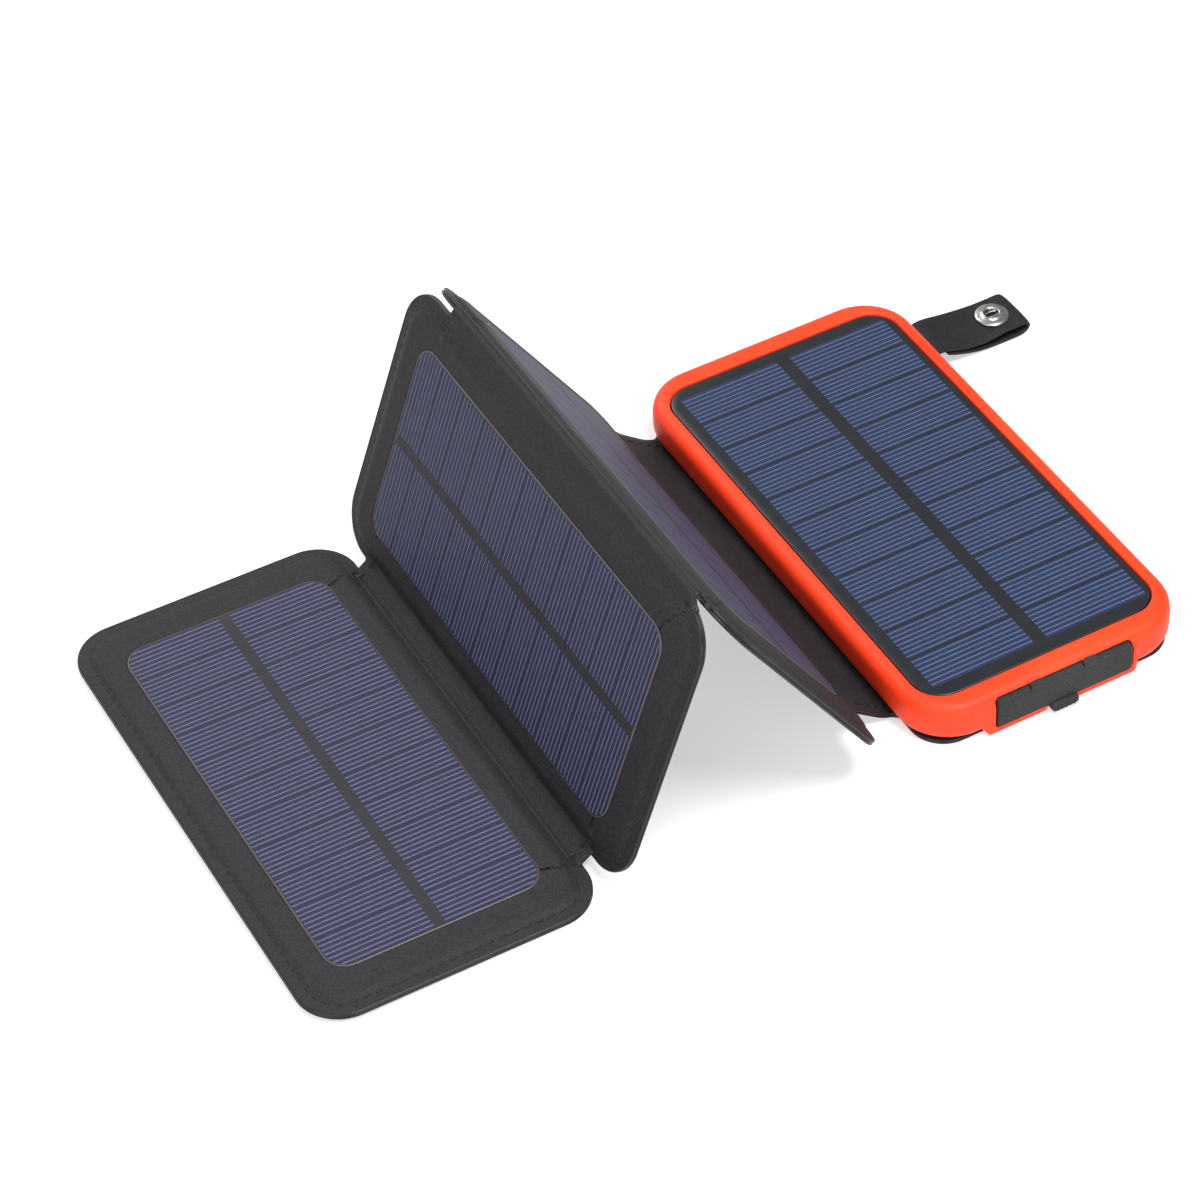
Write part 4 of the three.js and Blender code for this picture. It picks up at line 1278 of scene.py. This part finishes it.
# X and height of the band's middle: out from under the bumper, over its side, along and folded back.
STRAP_ROUTE = (
    (35.0, 0.75), (38.6, 0.75), (40.6, 1.0), (41.3, 2.2), (41.35, 3.9), (41.9, 5.2), (43.6, 6.1),
    (46.6, 6.3), (52.0, 5.5), (58.0, 4.75), (63.0, 4.35), (68.0, 4.35), (71.4, 4.4), (73.0, 3.7),
    (73.2, 2.6), (72.2, 1.4), (70.0, 0.72), (65.0, 0.6), (60.0, 0.7), (55.0, 1.4), (50.0, 2.9), (46.6, 4.2))
UPPER_LAYER = 40.0           # length along the route before it folds back
SAG_FROM, SAG_LENGTH, SAG = 44.0, 21.0, 1.5


def smooth_route(points, steps):
    """Catmull-Rom curve through the points."""
    pts = np.array([points[0], *points, points[-1]], float)
    line = []
    for i in range(1, len(pts) - 2):
        for s in range(steps):
            t = s / steps
            a, b, c, d = pts[i - 1], pts[i], pts[i + 1], pts[i + 2]
            square = (2 * a - 5 * b + 4 * c - d) * t ** 2
            cube = (3 * b - a - 3 * c + d) * t ** 3
            line.append(0.5 * (2 * b + (c - a) * t + square + cube))
    line.append(pts[-1])
    return np.array(line)


def strap():
    line = smooth_route(STRAP_ROUTE, 7)
    tangents = np.gradient(line, axis=0)
    tangents /= np.linalg.norm(tangents, axis=1)[:, None]
    lengths = np.r_[0, np.cumsum(np.linalg.norm(np.diff(line, axis=0), axis=1))]
    half_t = STRAP_THICK / 2
    section = []
    for i in range(25):
        a = -STRAP_HALF + 2 * STRAP_HALF * i / 24
        section.append((a, half_t * (1 - 0.35 * abs(a / STRAP_HALF) ** 6)))
    edge = ((0.12, half_t * 0.35), (0.16, 0.0), (0.12, -half_t * 0.35))
    section += [(STRAP_HALF + past, h) for past, h in edge]
    section += [(-a, -h) for a, h in section]
    loops, flats = [], []
    for (x, z), (tx, tz), s in zip(line, tangents, lengths):
        loop, flat = [], []
        for a, h in section:
            cup = -0.12 * (a / STRAP_HALF) ** 2 + 0.06 * wobble(s, a, 7, 5.2)
            hh = h + cup
            sag = min(max((x - SAG_FROM) / SAG_LENGTH, 0.0), 1.0) if s < UPPER_LAYER else 0.0
            bow = SAG * math.sin(math.pi * sag) * (0.5 - 0.5 * a / STRAP_HALF)
            loop.append((x - tz * hh, STRAP_Y + a, z + tx * hh - bow))
            flat.append((s, a, h))
        loops.append(loop)
        flats.append(flat)
    mesh = Mesh()
    mesh.loft(loops, flats, caps=(True, True))
    piece = mesh.build("strap_band", [STRAP_LEATHER], weld=False)
    outward_faces(piece)
    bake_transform(piece)
    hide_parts("strap")
    return piece


strap()

snap_low, snap_high = box_mm("strap_snap_socket")
SNAP_X = (snap_low[0] + snap_high[0]) / 2
SNAP_BASE = 4.95             # top of the strap under the ring
SPRING_RADIUS = 0.27         # the two spring wires in the socket's mouth
# Radius and height over the strap: rivet, ring, raised lip and the socket's bottom.
SNAP_SHAPE = (
    (3.3, -1.9), (3.6, -1.7), (1.8, -1.4), (1.8, 0.0), (4.75, -0.05), (4.85, 0.12), (4.75, 0.32), (4.4, 0.5),
    (3.8, 0.62), (3.2, 0.7), (2.9, 0.85), (2.65, 1.05), (2.4, 1.12), (2.15, 1.0), (2.0, 0.7), (1.95, 0.2),
    (1.9, -0.6), (0.0, -0.6))


def snap_socket():
    mesh = Mesh()
    lathe(mesh, [(r, SNAP_BASE + h) for r, h in SNAP_SHAPE], (SNAP_X, STRAP_Y, 0.0), sides=56)
    for side in (-1, 1):
        points = [(-2.0 + 0.2 * i, side * (0.75 + 0.3 * math.sin(math.pi * i / 20))) for i in range(21)]
        wire = []
        for i, (px, py) in enumerate(points):
            ahead = points[min(i + 1, 20)]
            behind = points[max(i - 1, 0)]
            angle = math.atan2(ahead[1] - behind[1], ahead[0] - behind[0])
            ring = []
            for k in range(10):
                a = 2 * math.pi * k / 10
                off = SPRING_RADIUS * math.cos(a)
                ring.append((SNAP_X + px - off * math.sin(angle), STRAP_Y + py + off * math.cos(angle),
                             SNAP_BASE + 0.35 + SPRING_RADIUS * math.sin(a)))
            wire.append(ring)
        mesh.loft(wire, caps=(True, True))
    piece = mesh.build("strap_snap", [STEEL])
    outward_faces(piece)
    sharpen(piece, 50)
    return mount(piece, "strap", "snap_steel", "strap_snap_socket")


snap_socket()


def snap_stud():
    lo, hi = box_mm("panel_3_snap_stud")
    mesh = Mesh()
    top, bottom = hi[2], lo[2] + 0.02
    mid = ((lo[0] + hi[0]) / 2, (lo[1] + hi[1]) / 2, 0.0)
    nub = [(0.0, 0.0), (1.1, 0.0), (1.5, 0.1), (1.6, 0.3), (2.2, 0.38), (4.0, 0.42), (4.4, 0.5)]
    profile = [(r, bottom + h) for r, h in nub] + [(4.5, top - 0.05), (4.3, top + 0.25), (0.0, top + 0.25)]
    lathe(mesh, profile, mid, sides=48)
    piece = mesh.build("panel_3_stud", [STEEL])
    outward_faces(piece)
    sharpen(piece, 50)
    return mount(piece, "panel_3", "snap_steel", "panel_3_snap_stud")


snap_stud()

# ----------------------------------------------------- CAD nodes kept as they are
KEPT = {
    "case_lower": BLACK_PLASTIC, "case_upper": BLACK_PLASTIC, "battery_left": POUCH, "battery_right": POUCH,
    "circuit_board": CIRCUIT, "button_switch": BLACK_PLASTIC,
    "usb_a_socket_1": SOCKET_STEEL, "usb_a_socket_2": SOCKET_STEEL, "usb_input_socket": SOCKET_STEEL,
    "usb_a_socket_1_tongue": BLACK_PLASTIC, "usb_a_socket_2_tongue": BLACK_PLASTIC,
    "usb_input_socket_tongue": BLACK_PLASTIC,
    "riser_lead": COPPER, "ridge_lead": COPPER, "valley_lead": COPPER,
    "panel_1_board": BOARD, "panel_2_board": BOARD, "panel_3_board": BOARD,
}
KEPT.update({f"case_screw_{i}": SOCKET_STEEL for i in range(1, 5)})
for node, finish in KEPT.items():
    data = frame["nodes"][node].data
    data.materials.clear()
    data.materials.append(finish)


# --------------------------------------------------------- stage, light, camera
def floor():
    mesh = Mesh()
    size, steps = 2500.0, 24
    lines = [-size + 2 * size * k / (steps - 1) for k in range(steps)]
    for y in lines:
        mesh.add([(x, y, -0.05) for x in lines])
    for i in range(steps - 1):
        for k in range(steps - 1):
            a = i * steps + k
            mesh.face((a, a + 1, a + 1 + steps, a + steps))
    n = Nodes("pale_floor")
    tone = n.noise(n.place(), 3, 2)
    n.link(n.mix(tone, (0.5, 0.5, 0.5), (0.53, 0.53, 0.53)), "Base Color")
    n.set(Roughness=0.9, Emission_Color=(1, 1, 1, 1), Emission_Strength=0.5)
    made = mesh.build("floor", [n.material], weld=False)


floor()


def area_light(name, place, target, size, power, colour=(1, 1, 1)):
    data = bpy.data.lights.new(name, "AREA")
    data.shape = "DISK"
    data.size = size
    data.energy = power
    data.color = colour
    light = bpy.data.objects.new(name, data)
    bpy.context.scene.collection.objects.link(light)
    light.location = place
    light.rotation_mode = "QUATERNION"
    light.rotation_quaternion = (Vector(target) - Vector(place)).to_track_quat("-Z", "Y")


centre = (-0.07, 0.0, 0.02)  # middle of the charger
area_light("key", (0.12, -0.35, 1.05), centre, 0.55, 15.0, (1.0, 0.99, 0.97))
area_light("fill", (-0.85, -0.45, 0.55), centre, 0.8, 6.0, (0.96, 0.98, 1.0))
area_light("back", (-0.15, 0.95, 0.75), centre, 0.8, 9.0, (1.0, 0.99, 0.99))
area_light("low", (-0.02, -1.0, 0.25), (-0.09, 0.0, 0.03), 0.6, 4.0)
world = bpy.data.worlds.new("studio")
world.use_nodes = True
background = world.node_tree.nodes["Background"]
background.inputs["Color"].default_value = (1.0, 1.0, 1.0, 1.0)
background.inputs["Strength"].default_value = 0.36
bpy.context.scene.world = world
bpy.context.scene.view_settings.view_transform = "Standard"

camera_data = bpy.data.cameras.new("camera")
camera_data.sensor_width = 36.0
camera_data.lens = 3993.87 / 1200 * 36.0
camera_data.clip_start, camera_data.clip_end = 0.05, 20.0
camera = bpy.data.objects.new("camera", camera_data)
bpy.context.scene.collection.objects.link(camera)
right = Vector((0.874029, -0.483772, -0.045143))
down = Vector((-0.366395, -0.595231, -0.715161))
forward = Vector((0.319105, 0.641611, -0.697501))
turn = Matrix((right, -down, -forward)).transposed().to_4x4()
camera.matrix_world = Matrix.Translation(Vector((-0.4203113, -0.6598432, 0.7384229))) @ turn
bpy.context.scene.camera = camera
